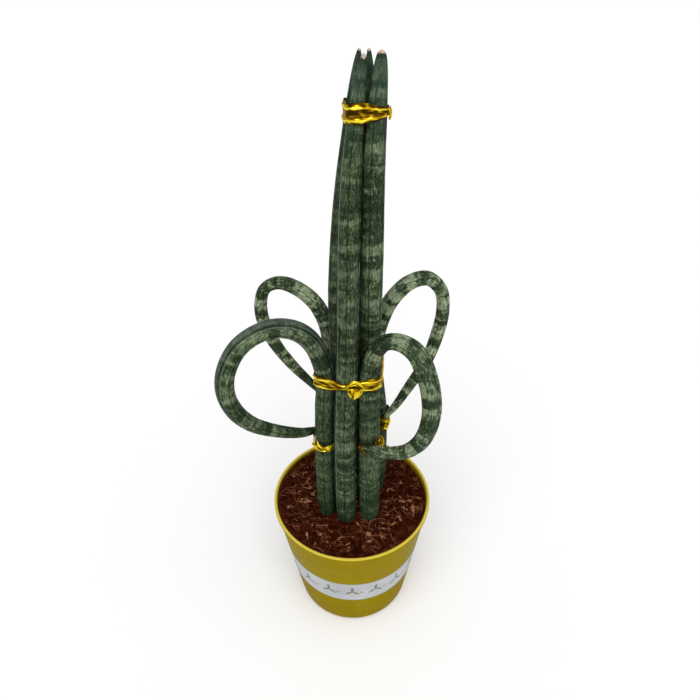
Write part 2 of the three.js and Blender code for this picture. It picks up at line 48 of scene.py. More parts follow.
# ---- Sizes, in millimetres ---------------------------------------------------------
POT_HEIGHT = 112
POT_BASE_RADIUS = 48.5
POT_WALL_TOP_RADIUS = 63.7
POT_RIM_RADIUS = 65.2
POT_WALL = 1.4
POT_FLOOR = 3
FOOT_INSET, FOOT_HEIGHT = 2.4, 3.6      # of the rounded edge the pot stands on
LIP_HEIGHT = 3.6
LIP_WIDTH = 2.1
BAND_BOTTOM = 40.8
BAND_TOP = 68.9
BAND_THICKNESS = 0.6
BAND_GAP = 0.3
DRAIN_HOLES = 5
DRAIN_RADIUS = 4.5
DRAIN_CIRCLE = 27
SOIL_LEVEL = 106.4            # in the middle
SOIL_DISH = 3                 # how much higher it lies along the wall
SOIL_SLOPE = 0.02             # how much lower it lies per millimetre to the right
SOIL_ROUGHNESS = 1.5
SOIL_GAP = 0.4                # beside the wall

# ---- Leaves ----------------------------------------------------------------------------
# path is the centre line from the buried end to the tip, foot and shoulder are
# diameters, and inwards is the way the channel faces at the foot. blunt rounds the tip,
# pinch is the place and depth of a narrower stretch, as shares of length and thickness,
# and dry is the length of the withered tip. pale is how strongly the pale cross-bands
# show, and tints are stretches, in metres from the buried end, that are paler or darker
# by an amount: on leaf_left the darker stretch is painted shade, and on the back loops
# the paler stretch over the top is a painted highlight and the darker one after it is
# painted shade. lip, on a loop, and the matching value on a tall leaf, are how clearly
# the channel's edge stands out as a painted highlight.
NECK, NECK_START, NECK_END = 0.26, 0.03, 0.115
SHOULDER = 0.6                # where the taper starts, as a share of the length
TAPER_POWER = 2.4
TAPER_ROUNDING = 0.5
PINCH_SPREAD = 0.06
TIP_RADIUS = 1.1
LEAVES = {
    "leaf_front_centre": dict(
        foot=17.8, shoulder=15, inwards=(-0.98, -0.2, 0), dry=2.2, pale=0.3, edge_highlight=0.6,
        path=[(-4.6, -17.5, 82), (-4.8, -19.2, 106), (-4.8, -19.2, 124), (-4.8, -18.2, 150),
              (-4.4, -15.8, 190), (-2.4, -13.5, 241), (-0.4, -9.8, 300), (0.9, -7.8, 346),
              (3.2, -5.8, 388), (6, -4, 414), (8.6, -3.4, 432), (10.4, -3.2, 443)]),
    "leaf_right": dict(
        foot=16.8, shoulder=14.6, blunt=0.32, inwards=(-1, 0, 0), dry=1.5, pale=0.42,
        path=[(8, 4, 82), (9, 5, 106), (9.4, 5.4, 124), (10, 5.8, 150), (11.4, 6, 190),
              (14.6, 5.4, 241), (15.2, 2.4, 288), (15.4, -2, 340), (15.7, -3.7, 382),
              (17, -3.6, 410), (18.3, -2.8, 430), (19.2, -2.4, 441), (19.4, -2.2, 444.4)]),
    "leaf_left": dict(
        foot=16.4, shoulder=14.4, inwards=(1, 0, 0), dry=0.9, pale=0.3,
        # the darker stretch is painted shade
        tints=[(0.1, 0.4, -0.05)],
        path=[(-7, 6, 82), (-7.6, 6.6, 106), (-7.4, 7, 124), (-7, 7.2, 150), (-6.4, 7.6, 190),
              (-6.2, 7.4, 241), (-6.3, 6.8, 296), (-3.8, 7, 336), (-0.3, 7, 372),
              (3.4, 6.4, 402), (6.6, 5.8, 430), (8.2, 5.4, 444.4)]),
    "leaf_back": dict(
        foot=15, shoulder=13, inwards=(0, -1, 0), dry=1, pale=0.26,
        path=[(1, 19, 82), (1.4, 21, 106), (1.6, 21.4, 124), (1.8, 21.4, 150), (2, 20.8, 195),
              (2.2, 20, 241), (5.4, 18.4, 300), (10, 13.4, 355), (13.6, 9.2, 394),
              (13.8, 7.6, 416), (13.5, 6.7, 432), (13.3, 6.1, 444.2)]),
    "loop_front_left": dict(
        foot=15.8, shoulder=13.6, pinch=(0.6, 0.05), inwards=(0.9, -0.42, 0),
        dry=0.6, pale=0.42, lip=1, tints=[(0.02, 0.13, -0.04)],
        path=[(-18, -11.5, 82), (-20.2, -13.2, 106), (-20.6, -12, 124), (-20.6, -9.6, 150),
              (-20, -6.4, 178), (-18.8, -5.6, 212), (-17, -6, 241), (-24.2, -8, 269.9),
              (-34.4, -11, 282.6), (-47, -14, 287), (-59.8, -17, 284.5), (-73, -20, 275),
              (-82.2, -23, 258), (-84.5, -23, 239.8), (-80.1, -21, 221.7), (-70.3, -17, 206.3),
              (-55.1, -11, 194.3), (-38, -5, 186.4), (-31, -0.4, 183.6), (-26.4, 4, 180.5),
              (-25, 5, 172.5)]),
    "loop_front_right": dict(
        foot=17.6, shoulder=14.4, blunt=0.42, pinch=(0.56, 0.24), inwards=(-1, 0, 0),
        dry=0.6, pale=0.72, lip=0.12,
        path=[(13, -15, 82), (13.8, -17.6, 106), (13.8, -17.4, 124), (13.7, -16, 147),
              (13.8, -13, 190), (13.9, -10.8, 241), (18, -12, 265), (25, -13.5, 274),
              (34, -16, 275), (43.9, -20, 269.4), (51.7, -26, 253), (55.2, -31, 234),
              (54, -33, 216), (48.3, -32.4, 199.6), (38.4, -31, 190.1), (25, -30, 188.8),
              (15.5, -28.4, 190), (10, -26.4, 189.8), (6, -24, 189.2)]),
    "loop_back_left": dict(
        foot=15.6, shoulder=11, pinch=(0.69, 0.2), inwards=(1, 0, 0),
        # the paler stretch over the loop's top is a painted highlight, the darker one after it
        # painted shade
        dry=0.6, pale=1, lip=0.4, tints=[(0.21, 0.26, 0.04), (0.285, 0.35, -0.06)],
        path=[(-18, 17, 82), (-19, 19, 106), (-18.5, 20, 147), (-16.6, 21.4, 200),
              (-13.4, 20.6, 241), (-16.4, 19.5, 270.3), (-24, 19.8, 287), (-35.2, 21.7, 296.6),
              (-47, 23.5, 300.2), (-57.3, 25.5, 295.3), (-62.4, 28, 281), (-61.6, 30, 261.7),
              (-54.5, 29.4, 243.6), (-42, 22.4, 229), (-30, 16, 219), (-23.6, 12.6, 213),
              (-20, 11, 203)]),
    "loop_back_right": dict(
        foot=16, shoulder=11, pinch=(0.68, 0.12), inwards=(-1, 0, 0),
        # the paler stretch over the loop's top is a painted highlight, the darker one after it
        # painted shade
        dry=0.6, pale=1.05, lip=0.2, tints=[(0.19, 0.24, 0.07), (0.27, 0.34, -0.08)],
        path=[(19, 12.5, 82), (21.2, 14.2, 106), (22, 16.6, 124), (22.6, 19, 147),
              (22.6, 21, 184), (18.4, 20.8, 241), (22.8, 19.8, 269.2), (31, 20.4, 288),
              (43, 22.5, 299.3), (55, 24.4, 301), (65, 26.4, 291), (68.4, 29, 272),
              (66.4, 30.6, 252), (59, 27.6, 228), (45.4, 19, 209.6), (35, 12, 197),
              (28.4, 9.4, 190), (24.6, 10.2, 180)]),
}
LEAF_SIDES = 64
LEAF_STEP = 1.3               # between rings
LEAF_TIP_STEP = 0.35          # between them over the last LEAF_TIP_LENGTH
LEAF_TIP_LENGTH = 9
CHANNEL = (0.17, 0.2)         # depth as a share of the radius, and half-angle
# the dark line in the channel is painted shade
CHANNEL_LINE = 0.1            # half-angle of the dark line in it
GROOVE = (0.07, 0.085)
FINE_GROOVE = (0.025, 0.06)
GROOVES = 5
GROOVE_FADE = 14              # the length at the tip over which they run out
LEAF_LUMPS = 0.014            # as a share of the radius

# ---- Ties ------------------------------------------------------------------------------
# A ring is a ribbon of half-height half round the named stretches of leaf, in the plane
# through at. It is gathered to tight at its knot over the distance gather, and its web
# value is how dark painted shade makes it between its strands. Its height runs along
# lean, or else along normal.
# A fold is a loose end or a strand: its path, width, and width at the tip.
STEM = (0, 0.5)
TIP = (0.93, 1)
ALL_STEMS = [(name, STEM) for name in LEAVES]
TALL_LEAVES = [(name, (0, 1)) for name in LEAVES if name.startswith("leaf_")]
FOIL_REACH = 1                # how far past its edges a ring still minds a leaf
TIE_CLEARANCE = 0.2           # between a ring and the leaves
TIES = {
    "tie_middle": dict(
        rings=[dict(at=(1, 2, 238.4), normal=(0, 0.2, 1), half=4.8, tight=1.9, web_shade=0.64,
                    knot=(-2.9, -23.5, 243.7), gather=16, round=ALL_STEMS)],
        folds=[([(-2.6, -23.4, 243.4), (0, -24.4, 247.4), (3.2, -24.8, 249.6), (6.8, -24, 247),
                 (9.6, -21.8, 241.6)], 3, 2.4),
               ([(3.4, -22.8, 242.6), (3.4, -24.6, 239), (2.8, -24.8, 235.4)], 13, 6)]),
    "tie_top": dict(
        rings=[dict(at=(10, 1, 415.2), normal=(-0.015, 0.05, 1), lean=(0.06, 0.02, 1), half=5.4,
                    tight=2.4, web_shade=0.85, knot=(24, -5, 414.6), gather=18, round=TALL_LEAVES)],
        folds=[([(23.6, -5.8, 418), (24.4, -5.4, 414.8), (23.8, -5.6, 411.6)], 3.8, 2.6)]),
    "tie_front_left": dict(
        rings=[dict(at=(-20, -3, 176.6), normal=(0, 0.1, 1), half=3, tight=2.4, web_shade=0.3,
                    knot=(-19.6, -15, 178), gather=9,
                    round=[("loop_front_left", STEM), ("loop_front_left", TIP)])],
        folds=[([(-22.4, -15.2, 177.6), (-26.8, -12.4, 178.4), (-29.4, -9, 179.4)], 5, 3.6),
               ([(-21.8, -15.4, 178.4), (-23.6, -16.2, 183.6), (-24.8, -16, 188.4)], 5.4, 1.4),
               ([(-19, -15.4, 177.6), (-16.8, -16.2, 180), (-14.8, -16.4, 183.2)], 4.2, 1.2)]),
    "tie_front_right": dict(
        rings=[dict(at=(14.6, -13.3, 183.8), normal=(-0.2, 0, 1), half=1.8, tight=1.6, web_shade=0.7,
                    knot=(21.4, -20.2, 185), gather=9, round=[("loop_front_right", STEM)]),
               dict(at=(9, -25.9, 189.8), normal=(-0.8, 0.3, -0.5), half=1.1, tight=0.9, web_shade=0.7,
                    knot=(10, -21, 190), gather=5, round=[("loop_front_right", TIP)])],
        folds=[([(21.4, -20.8, 184.4), (21.6, -21.8, 189.4), (21.4, -21.4, 194.4)], 8, 3.4),
               ([(20, -21.2, 185.4), (18.8, -21.8, 191.6), (21.4, -21.6, 197.3),
                 (24, -20.8, 191.6), (23, -21.2, 185.4)], 1.6, 1.6),
               ([(9.8, -22.2, 182.6), (9.8, -22.2, 190.6)], 4.4, 3)]),
    "tie_back_left": dict(
        rings=[dict(at=(-18, 16, 206), normal=(0, 0, 1), half=2.4, tight=1.6, web_shade=0.5,
                    knot=(-17, 29, 206), gather=9,
                    round=[("loop_back_left", STEM), ("loop_back_left", TIP)])],
        folds=[([(-17.6, 29.8, 206), (-20, 32, 201.6)], 4, 1),
               ([(-15.6, 29.8, 206), (-13, 32, 209.6)], 3.6, 1)]),
    "tie_back_right": dict(
        rings=[dict(at=(22.6, 15, 182.4), normal=(0.1, 0, 1), half=6.4, tight=2.2, web_shade=0.6,
                    knot=(22, 29.5, 184), gather=12,
                    round=[("loop_back_right", STEM), ("loop_back_right", TIP)])],
        folds=[([(29.8, 8.4, 187.2), (30.4, 8, 183.6), (29.6, 8.2, 180.4)], 3.2, 2.4),
               ([(31.2, 20, 184.4), (34, 21.6, 182)], 3.4, 1)]),
}


# ---- Meshes ----------------------------------------------------------------------------

def unit(vector):
    vector = np.asarray(vector, float)
    return vector / np.linalg.norm(vector)


def new_object(name, data):
    """An object in the scene."""
    thing = bpy.data.objects.new(name, data)
    bpy.context.scene.collection.objects.link(thing)
    return thing


def add_object(name, vertices, faces, material, smooth=True, attributes=None):
    """A mesh object from millimetres, that rides on the part's body."""
    mesh = bpy.data.meshes.new(name)
    places = (np.asarray(vertices, float) * MM).tolist()
    mesh.from_pydata(places, [], [list(face) for face in faces])
    mesh.validate()
    mesh.materials.append(material)
    mesh.polygons.foreach_set("use_smooth", [smooth] * len(mesh.polygons))
    for key, values in (attributes or {}).items():
        values = np.asarray(values, float)
        kind = "FLOAT_VECTOR" if values.ndim == 2 else "FLOAT"
        attribute = mesh.attributes.new(key, kind, "POINT")
        attribute.data.foreach_set("vector" if values.ndim == 2 else "value", values.ravel())
    thing = new_object(name, mesh)
    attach(thing, BODY)
    return thing


def tube_faces(rings, sides, endless=False, capped=True):
    """Quads between rings of points, and a face on each end."""
    faces = []
    for ring in range(rings if endless else rings - 1):
        here, beyond = ring * sides, (ring + 1) % rings * sides
        for side in range(sides):
            beside = (side + 1) % sides
            faces.append((here + side, here + beside, beyond + beside, beyond + side))
    if capped and not endless:
        faces.append(tuple(reversed(range(sides))))
        faces.append(tuple((rings - 1) * sides + side for side in range(sides)))
    return faces


def shifted(faces, start):
    """Faces with their corners counted from start."""
    return [tuple(start + corner for corner in face) for face in faces]


def lathe(profile, sides):
    """Points and quads of a closed outline of (radius, height) turned about Z."""
    radii, heights = np.array(profile, float).T
    points = np.array([
        np.column_stack([radii * math.cos(turn), radii * math.sin(turn), heights])
        for turn in np.arange(sides) / sides * TAU
    ])
    return points.reshape(-1, 3), tube_faces(sides, len(profile), endless=True)


# ---- Materials -------------------------------------------------------------------------

def linear(red, green, blue):
    """A display colour, 0 to 255, as the linear colour a shader takes."""
    def one(value):
        value /= 255
        return value / 12.92 if value <= 0.04045 else ((value + 0.055) / 1.055) ** 2.4
    return (one(red), one(green), one(blue), 1)


class Look:
    """A material whose nodes are added by short calls. A call gives an output socket."""

    def __init__(self, name):
        self.material = bpy.data.materials.new(name)
        self.material.use_nodes = True
        self.tree = self.material.node_tree
        self.shader = self.tree.nodes["Principled BSDF"]

    def put(self, socket, value):
        if isinstance(value, bpy.types.NodeSocket):
            self.tree.links.new(value, socket)
        else:
            socket.default_value = value

    def fill(self, node, values):
        """Puts values in a node's inputs, by name."""
        for key, value in values.items():
            self.put(node.inputs[key.replace("_", " ")], value)
        return node

    def set(self, **values):
        """Puts values in the shader."""
        self.fill(self.shader, values)

    def add(self, kind, **values):
        return self.fill(self.tree.nodes.new("ShaderNode" + kind), values)

    def attribute(self, name, output="Fac"):
        node = self.add("Attribute")
        node.attribute_name = name
        return node.outputs[output]

    def position(self):
        return self.add("TexCoord").outputs["Object"]

    def split(self, vector):
        return self.add("SeparateXYZ", Vector=vector).outputs

    def stretch(self, vector, scale, shift=(0, 0, 0)):
        return self.add("Mapping", Vector=vector, Scale=scale, Location=shift).outputs[0]

    def noise(self, vector, scale, detail=3, rough=0.55, warp=0):
        node = self.add("TexNoise", Vector=vector, Scale=scale, Detail=detail,
                        Roughness=rough, Distortion=warp)
        return node.outputs["Fac"]

    def cells(self, vector, scale):
        """The distance to the nearest of scattered points."""
        return self.add("TexVoronoi", Vector=vector, Scale=scale).outputs["Distance"]

    def math(self, kind, first, second=0.5, third=0.5):
        node = self.add("Math")
        node.operation = kind
        for socket, value in zip(node.inputs, (first, second, third)):
            self.put(socket, value)
        return node.outputs[0]

    def times(self, first, second):
        return self.math("MULTIPLY", first, second)

    def away(self, value, centre):
        """How far a value is from a centre."""
        return self.math("ABSOLUTE", self.math("SUBTRACT", value, centre))

    def vary(self, value, noise, swing):
        """A value moved by a noise, over a range of swing in all."""
        return self.math("ADD", value, self.times(self.math("SUBTRACT", noise, 0.5), swing))

    def between(self, value, low, high, out_low=0, out_high=1):
        """A smooth ramp from out_low to out_high as value goes from low to high."""
        node = self.add("MapRange", Value=value, From_Min=low, From_Max=high,
                        To_Min=out_low, To_Max=out_high)
        node.interpolation_type = "SMOOTHSTEP"
        return node.outputs[0]

    def ramp(self, value, *stops):
        """Display colours at places from 0 to 1."""
        node = self.add("ValToRGB", Fac=value)
        elements = node.color_ramp.elements
        while len(elements) < len(stops):
            elements.new(0.5)
        for element, (place, colour) in zip(elements, stops):
            element.position = place
            element.color = linear(*colour)
        return node.outputs[0]

    def blend(self, share, first, second):
        node = self.add("Mix")
        node.data_type = "RGBA"
        for place, value in ((0, share), (6, first), (7, second)):
            self.put(node.inputs[place], value)
        return node.outputs[2]

    def tint(self, colour, mask, strength, target):
        """A colour drawn to a display colour, by strength where mask is 1."""
        return self.blend(self.times(mask, strength), colour, linear(*target))

    def bump(self, height, strength, distance):
        """Relief of distance, in metres, for a height of 1, on top of any other relief."""
        node = self.add("Bump", Strength=strength, Distance=distance, Height=height)
        socket = self.shader.inputs["Normal"]
        if socket.links:
            self.put(node.inputs["Normal"], socket.links[0].from_socket)
        self.put(socket, node.outputs[0])


def cross_bands(look, along, bent, ragged, grain, tints):
    """The pattern of the bands: high where they are pale, and low where they are dark."""
    bands = look.vary(grain(20, 128, 2, 0.6, 0.4), ragged, 0.42)
    bands = look.vary(bands, grain(230, 210, 3, 0.6), 0.5)
    bands = look.math("ADD", bands, look.times(bent, 0.03))
    # tints shift the bands paler or darker; on some leaves these are painted highlight and painted
    # shade
    for start, end, paler in tints:
        stretch = look.times(look.between(along, start - 0.012, start + 0.006),
                             look.between(along, end + 0.012, end - 0.006))
        bands = look.math("MULTIPLY_ADD", stretch, paler, bands)
    return bands


def loop_channel(look, colour, streaks, bent, lip):
    """Where a loop is bent: a smooth, greyer strip beside its channel, and a pale edge that is a
    painted highlight.
    """
    turn = look.attribute("from_channel")
    strip = look.times(look.between(turn, 0.02, 0.14), look.between(turn, 1.5, 1.1))
    smooth = look.ramp(streaks, (0.36, (46, 59, 54)), (0.66, (86, 100, 94)))
    colour = look.blend(look.times(look.times(strip, bent), 0.6 * lip), colour, smooth)
    # painted highlight: a pale line along the channel's edge
    edge_highlight = look.between(look.away(turn, -0.2), 0.13, 0.04)
    return look.tint(colour, look.times(edge_highlight, bent), 0.36 * lip, (124, 138, 122))


def tall_channel(look, colour, strength):
    """A tall leaf's channel: painted shade on a darker flank, and a pale line along its edge that
    is a painted highlight.
    """
    turn = look.attribute("from_channel")
    # painted shade on the flank beside the channel
    shaded_flank = look.times(look.between(turn, 0.2, 0), look.between(turn, -1.2, -0.8))
    colour = look.tint(colour, shaded_flank, 0.6, (24, 38, 31))
    # painted highlight: a pale line along the channel's edge
    edge_highlight = look.between(look.away(turn, 0.32), 0.12, 0.03)
    return look.tint(colour, edge_highlight, strength, (132, 150, 130))


def leaf_look(name, seed, leaf):
    """Dark green with pale, ragged cross-bands, fine streaks and a withered tip. The
    attribute straight is the place on the leaf as if it were pulled out straight, and
    from_channel is the angle from its channel."""
    look = Look(name + "_skin")
    dry, lip, pale = leaf["dry"], leaf.get("lip", 0), leaf["pale"]
    shift = (seed * 3.1, seed * 1.7, seed * 5.3)
    straight = look.attribute("straight", "Vector")
    along = look.split(straight)[2]
    height = look.split(look.position())[2]

    def grain(across, lengthwise, *detail):
        """Noise on the straight leaf, by its scales across it and along it."""
        place = look.stretch(straight, (across, across, lengthwise), shift)
        return look.noise(place, 1, *detail)

    bent = 0
    if lip:
        bent = look.between(along, 0.13, 0.21)
        pale = look.math("MULTIPLY_ADD", bent, pale * 0.68, pale * 0.32)
    ragged = grain(800, 240, 3, 0.65)
    streaks = grain(1400, 260, 4, 0.75)
    speckle = look.noise(look.stretch(straight, (1, 1, 0.6), shift), 1300, 2, 0.6)
    vein = look.between(look.away(grain(420, 5, 1, 0.4), 0.5), 0.012, 0.003)
    bands = cross_bands(look, along, bent, ragged, grain, leaf.get("tints", ()))

    green = look.ramp(streaks, (0.36, (22, 35, 14)), (0.5, (43, 58, 33)), (0.66, (78, 96, 65)))
    ash = look.ramp(streaks, (0.34, (84, 98, 66)), (0.5, (130, 144, 110)),
                    (0.66, (190, 202, 172)))
    colour = look.blend(look.times(look.between(bands, 0.49, 0.64), pale), green, ash)
    colour = look.tint(colour, look.between(bands, 0.47, 0.37), 0.72, (16, 29, 11))
    colour = look.tint(colour, look.between(speckle, 0.56, 0.7), 0.36, (132, 147, 124))
    colour = look.tint(colour, vein, 0.24 if lip else 0.5, (14, 23, 12))
    if lip:
        colour = loop_channel(look, colour, streaks, bent, lip)
    # painted shade and a painted highlight beside a tall leaf's channel
    if "edge_highlight" in leaf:
        colour = tall_channel(look, colour, leaf["edge_highlight"])
    # painted shade: the grooves and a line down the channel's middle are darkened, as far as
    # darkest
    darkest = 0.36 + 0.26 * lip if lip else 0.62
    groove_shade = look.between(look.attribute("groove_shade"), 0.15, 0.9, 0, darkest)
    colour = look.blend(groove_shade, colour, linear(12, 21, 11))
    colour = look.tint(colour, look.between(height, 0.160, 0.112), 0.3, (20, 42, 28))

    tip = look.attribute("to_tip")
    if not lip:
        # painted sheen: the tall leaves turn a smoother, paler blue-green towards their tops
        top_sheen = look.between(height, 0.385, 0.435, 0, 0.4)
        colour = look.blend(top_sheen, colour, linear(50, 74, 64))
        collar = look.between(tip, 0.013, 0.006, 0, 0.6)
        colour = look.blend(collar, colour, linear(36, 56, 46))
    tip = look.vary(tip, ragged, 0.003)
    scorched = look.between(tip, (dry + 3.5) * MM, (dry + 0.4) * MM)
    colour = look.tint(colour, scorched, 0.6, (34, 34, 22))
    withered = look.between(tip, (dry + 0.5) * MM, (dry - 0.5) * MM)
    husk = look.ramp(streaks, (0.34, (128, 104, 88)), (0.6, (218, 196, 178)))
    look.set(Base_Color=look.blend(withered, colour, husk), Specular_IOR_Level=0.08,
             Roughness=look.between(streaks, 0.3, 0.7, 0.62, 0.46))
    look.bump(streaks, 0.4, 0.00025)
    look.bump(look.times(vein, -1), 0.5, 0.0002)
    look.bump(bands, 0.35, 0.0006)
    return look.material


def foil_look(name, shade=0, crumpled=1):
    """Twisted gold foil whose light and shade are painted: bright strands as painted
    highlight, brown hollows as painted shade, and creases along the ribbon. The attribute
    ribbon is the place along and across it, and another attribute gives the painted shade
    in the hollows. A shade darkens it all towards amber, as painted shade, and where it is
    less crumpled its folds are longer."""
    look = Look(name)
    ribbon = look.attribute("ribbon", "Vector")
    folds = look.noise(look.stretch(ribbon, (110 * crumpled, 520, 520)),
                       1, 3, 0.55, 0.7 * crumpled)
    creases = look.noise(look.stretch(ribbon, (160 * crumpled, 1500, 800)), 1, 3, 0.6)
    # painted shade in the hollows, and painted highlight and shade from the folds and creases
    tone = look.math("MULTIPLY_ADD", look.attribute("hollow_shade"), -0.46, folds)
    tone = look.math("MULTIPLY_ADD", creases, 0.25, look.math("SUBTRACT", tone, 0.125 + shade))
    # the ramp runs from painted shade, brown, to painted highlight, lemon
    colour = look.ramp(tone, (0.12, (52, 34, 1)), (0.26, (114, 80, 4)), (0.38, (184, 146, 12)),
                       (0.48, (236, 208, 36)), (0.6, (255, 246, 84)))
    look.set(Base_Color=colour, Metallic=0.8, Specular_Tint=(1, 0.72, 0.16, 1),
             Roughness=look.between(folds, 0.3, 0.7, 0.42, 0.24))
    look.bump(folds, 0.6, 0.0008)
    look.bump(creases, 0.5, 0.0003)
    return look.material


def pot_look():
    """Glossy olive-mustard plastic, with a pale rim top that is a painted highlight, faint scuffs
    and specks.
    """
    look = Look("pot_yellow_plastic")
    place = look.position()
    x, _, z = look.split(place)
    cloud = look.noise(place, 28, 3, 0.5)
    grain = look.noise(place, 2600, 2, 0.5)
    colour = look.ramp(cloud, (0.3, (136, 118, 0)), (0.7, (147, 128, 0)))
    # painted highlight: the top of the rim is pale
    colour = look.tint(colour, look.between(z, 0.1106, 0.1115), 0.85, (214, 192, 76))
    colour = look.tint(colour, look.between(z, 0.066, 0.024), 0.6, (128, 111, 0))
    tan = look.times(look.between(x, 0.026, 0.046), look.between(z, 0.075, 0.02))
    colour = look.tint(colour, tan, 0.45, (146, 104, 16))
    scuffs = look.noise(look.stretch(place, (420, 420, 90), (3, 1, 7)), 1, 4, 0.75, 2.2)
    rare = look.between(look.noise(place, 46, 2), 0.58, 0.66)
    scuff = look.times(look.between(look.away(scuffs, 0.5), 0.012, 0.002), rare)
    colour = look.tint(colour, scuff, 0.4, (212, 200, 96))
    specks = look.between(look.cells(place, 62), 0.075, 0.045)
    colour = look.tint(colour, specks, 0.55, (70, 52, 8))
    look.set(Base_Color=colour, Specular_IOR_Level=0.008,
             Roughness=look.between(cloud, 0.3, 0.7, 0.34, 0.46))
    look.bump(cloud, 0.1, 0.001)
    look.bump(grain, 0.05, 0.0001)
    look.bump(look.times(scuff, -1), 0.4, 0.0001)
    return look.material


def band_look():
    """Pale film printed with a plain row of small leaves and dots, and a thin edge line.
    A sprig and a dot are drawn in a cell, by shares of its length and of its height."""
    look = Look("band_white_film")
    place = look.position()
    x, y, z = look.split(place)
    fibres = look.noise(place, 700, 4, 0.6)
    cloud = look.noise(place, 40, 2)
    colour = look.ramp(cloud, (0.3, (168, 170, 173)), (0.7, (188, 190, 194)))
    cells, cell_height = 18, 0.016
    petal_length, petal_width = 0.27, 0.085
    turns = look.math("DIVIDE", look.math("ARCTAN2", y, x), TAU)
    along = look.math("SUBTRACT", look.math("FRACT", look.times(turns, cells)), 0.5)
    up = look.math("SUBTRACT", z, (BAND_BOTTOM + BAND_TOP) / 2 * MM)
    up = look.math("DIVIDE", up, cell_height)

    def petal(centre_along, centre_up, lean):
        """A pointed leaf shape in a cell, as a mask."""
        du = look.math("SUBTRACT", along, centre_along)
        dv = look.math("SUBTRACT", up, centre_up)
        u = look.math("ADD", look.times(du, math.cos(lean)), look.times(dv, math.sin(lean)))
        v = look.math("SUBTRACT", look.times(dv, math.cos(lean)), look.times(du, math.sin(lean)))
        sway = look.times(look.times(u, u), petal_width / petal_length ** 2)
        inside = look.math("ADD", look.math("ABSOLUTE", v), sway)
        return look.between(inside, petal_width, petal_width * 0.7)

    sprig = petal(-0.2, -0.06, 0.8)
    for other in (petal(0.08, -0.06, -0.8), petal(-0.06, 0.3, math.pi / 2)):
        sprig = look.math("MAXIMUM", sprig, other)
    dot = look.math("SQRT", look.math("ADD",
                    look.math("POWER", look.math("SUBTRACT", along, 0.34), 2),
                    look.math("POWER", look.math("ADD", up, 0.02), 2)))
    dot = look.between(dot, 0.085, 0.065)
    worn = look.between(look.noise(place, 900, 3, 0.7), 0.34, 0.52, 0.4, 0.95)
    colour = look.tint(colour, sprig, worn, (98, 106, 74))
    colour = look.tint(colour, dot, worn, (146, 124, 66))
    line = look.between(z, (BAND_BOTTOM + 1.3) * MM, (BAND_BOTTOM + 0.6) * MM)
    colour = look.tint(colour, line, 0.75, (126, 138, 128))
    top = look.between(z, (BAND_TOP - 0.9) * MM, (BAND_TOP - 0.2) * MM)
    colour = look.tint(colour, top, 0.35, (150, 152, 118))
    look.set(Base_Color=colour, Specular_IOR_Level=0.08,
             Roughness=look.between(fibres, 0.3, 0.7, 0.4, 0.55))
    look.bump(look.noise(look.stretch(place, (50, 50, 260)), 1, 2), 0.25, 0.0006)
    look.bump(fibres, 0.08, 0.0001)
    return look.material


def coir_look(name, dark, middle, light, tone_weight):
    """Husk, from its noise and from the attribute tone, which differs by strand."""
    look = Look(name)
    place = look.position()
    grain = look.noise(place, 900, 4, 0.65)
    clumps = look.noise(place, 130, 3, 0.6)
    noisy = look.times(look.math("ADD", grain, clumps), (1 - tone_weight) / 2)
    tone = look.math("MULTIPLY_ADD", look.attribute("tone"), tone_weight, noisy)
    colour = look.ramp(tone, (0.25, dark), (0.55, middle), (0.85, light))
    look.set(Base_Color=colour, Specular_IOR_Level=0.04,
             Roughness=look.between(grain, 0.3, 0.7, 0.95, 0.8))
    look.bump(grain, 0.7, 0.0006)
    look.bump(clumps, 0.5, 0.0012)
    return look.material


def rhizome_look():
    """Orange-brown, ringed root."""
    look = Look("rhizome_skin")
    place = look.position()
    rings = look.noise(look.stretch(place, (60, 60, 300)), 1, 3, 0.6)
    grain = look.noise(place, 700, 4, 0.6)
    colour = look.ramp(rings, (0.3, (150, 96, 48)), (0.7, (206, 158, 98)))
    look.set(Base_Color=colour, Roughness=look.between(grain, 0.3, 0.7, 0.7, 0.9))
    look.bump(grain, 0.5, 0.0005)
    return look.material


# ---- Leaves as meshes ------------------------------------------------------------------

def smooth_path(points, per_span=40):
    """A centripetal Catmull-Rom curve through points, densely sampled."""
    points = np.array(points, float)
    padded = np.vstack([2 * points[0] - points[1], points, 2 * points[-1] - points[-2]])
    samples = []
    for index in range(len(points) - 1):
        span = padded[index:index + 4]
        before, start, end, after = span
        lead, gap, follow = np.sqrt(np.linalg.norm(np.diff(span, axis=0), axis=1))
        leave = ((start - before) / lead - (end - before) / (lead + gap)
                 + (end - start) / gap) * gap
        arrive = ((end - start) / gap - (after - start) / (gap + follow)
                  + (after - end) / follow) * gap
        for step in range(per_span):
            t = step / per_span
            samples.append(start + leave * t + (3 * (end - start) - 2 * leave - arrive) * t ** 2
                           + (2 * (start - end) + leave + arrive) * t ** 3)
    samples.append(points[-1])
    return np.array(samples)


def eased(share):
    """A share from 0 to 1 that starts and ends gently."""
    return share ** 2 * (3 - 2 * share)


def leaf_radius(leaf, share):
    """A leaf's radius at shares of its length."""
    neck = np.clip((share - NECK_START) / (NECK_END - NECK_START), 0, 1)
    neck = 1 - NECK * (1 - eased(neck))
    pinch = 1.0
    if "pinch" in leaf:
        at, by = leaf["pinch"]
        pinch = 1 - by * np.exp(-((share - at) / PINCH_SPREAD) ** 2)
    body = (leaf["foot"] + (leaf["shoulder"] - leaf["foot"]) * np.minimum(share / SHOULDER, 1)) / 2
    beyond = np.clip((share - SHOULDER) / (1 - SHOULDER), 0, 1)
    taper = (1 - beyond ** TAPER_POWER) ** leaf.get("blunt", TAPER_ROUNDING)
    return np.maximum(body * neck * pinch * taper, TIP_RADIUS)


def lengths_to(points):
    """The length of a line up to each of its points."""
    return np.r_[0, np.cumsum(np.linalg.norm(np.diff(points, axis=0), axis=1))]


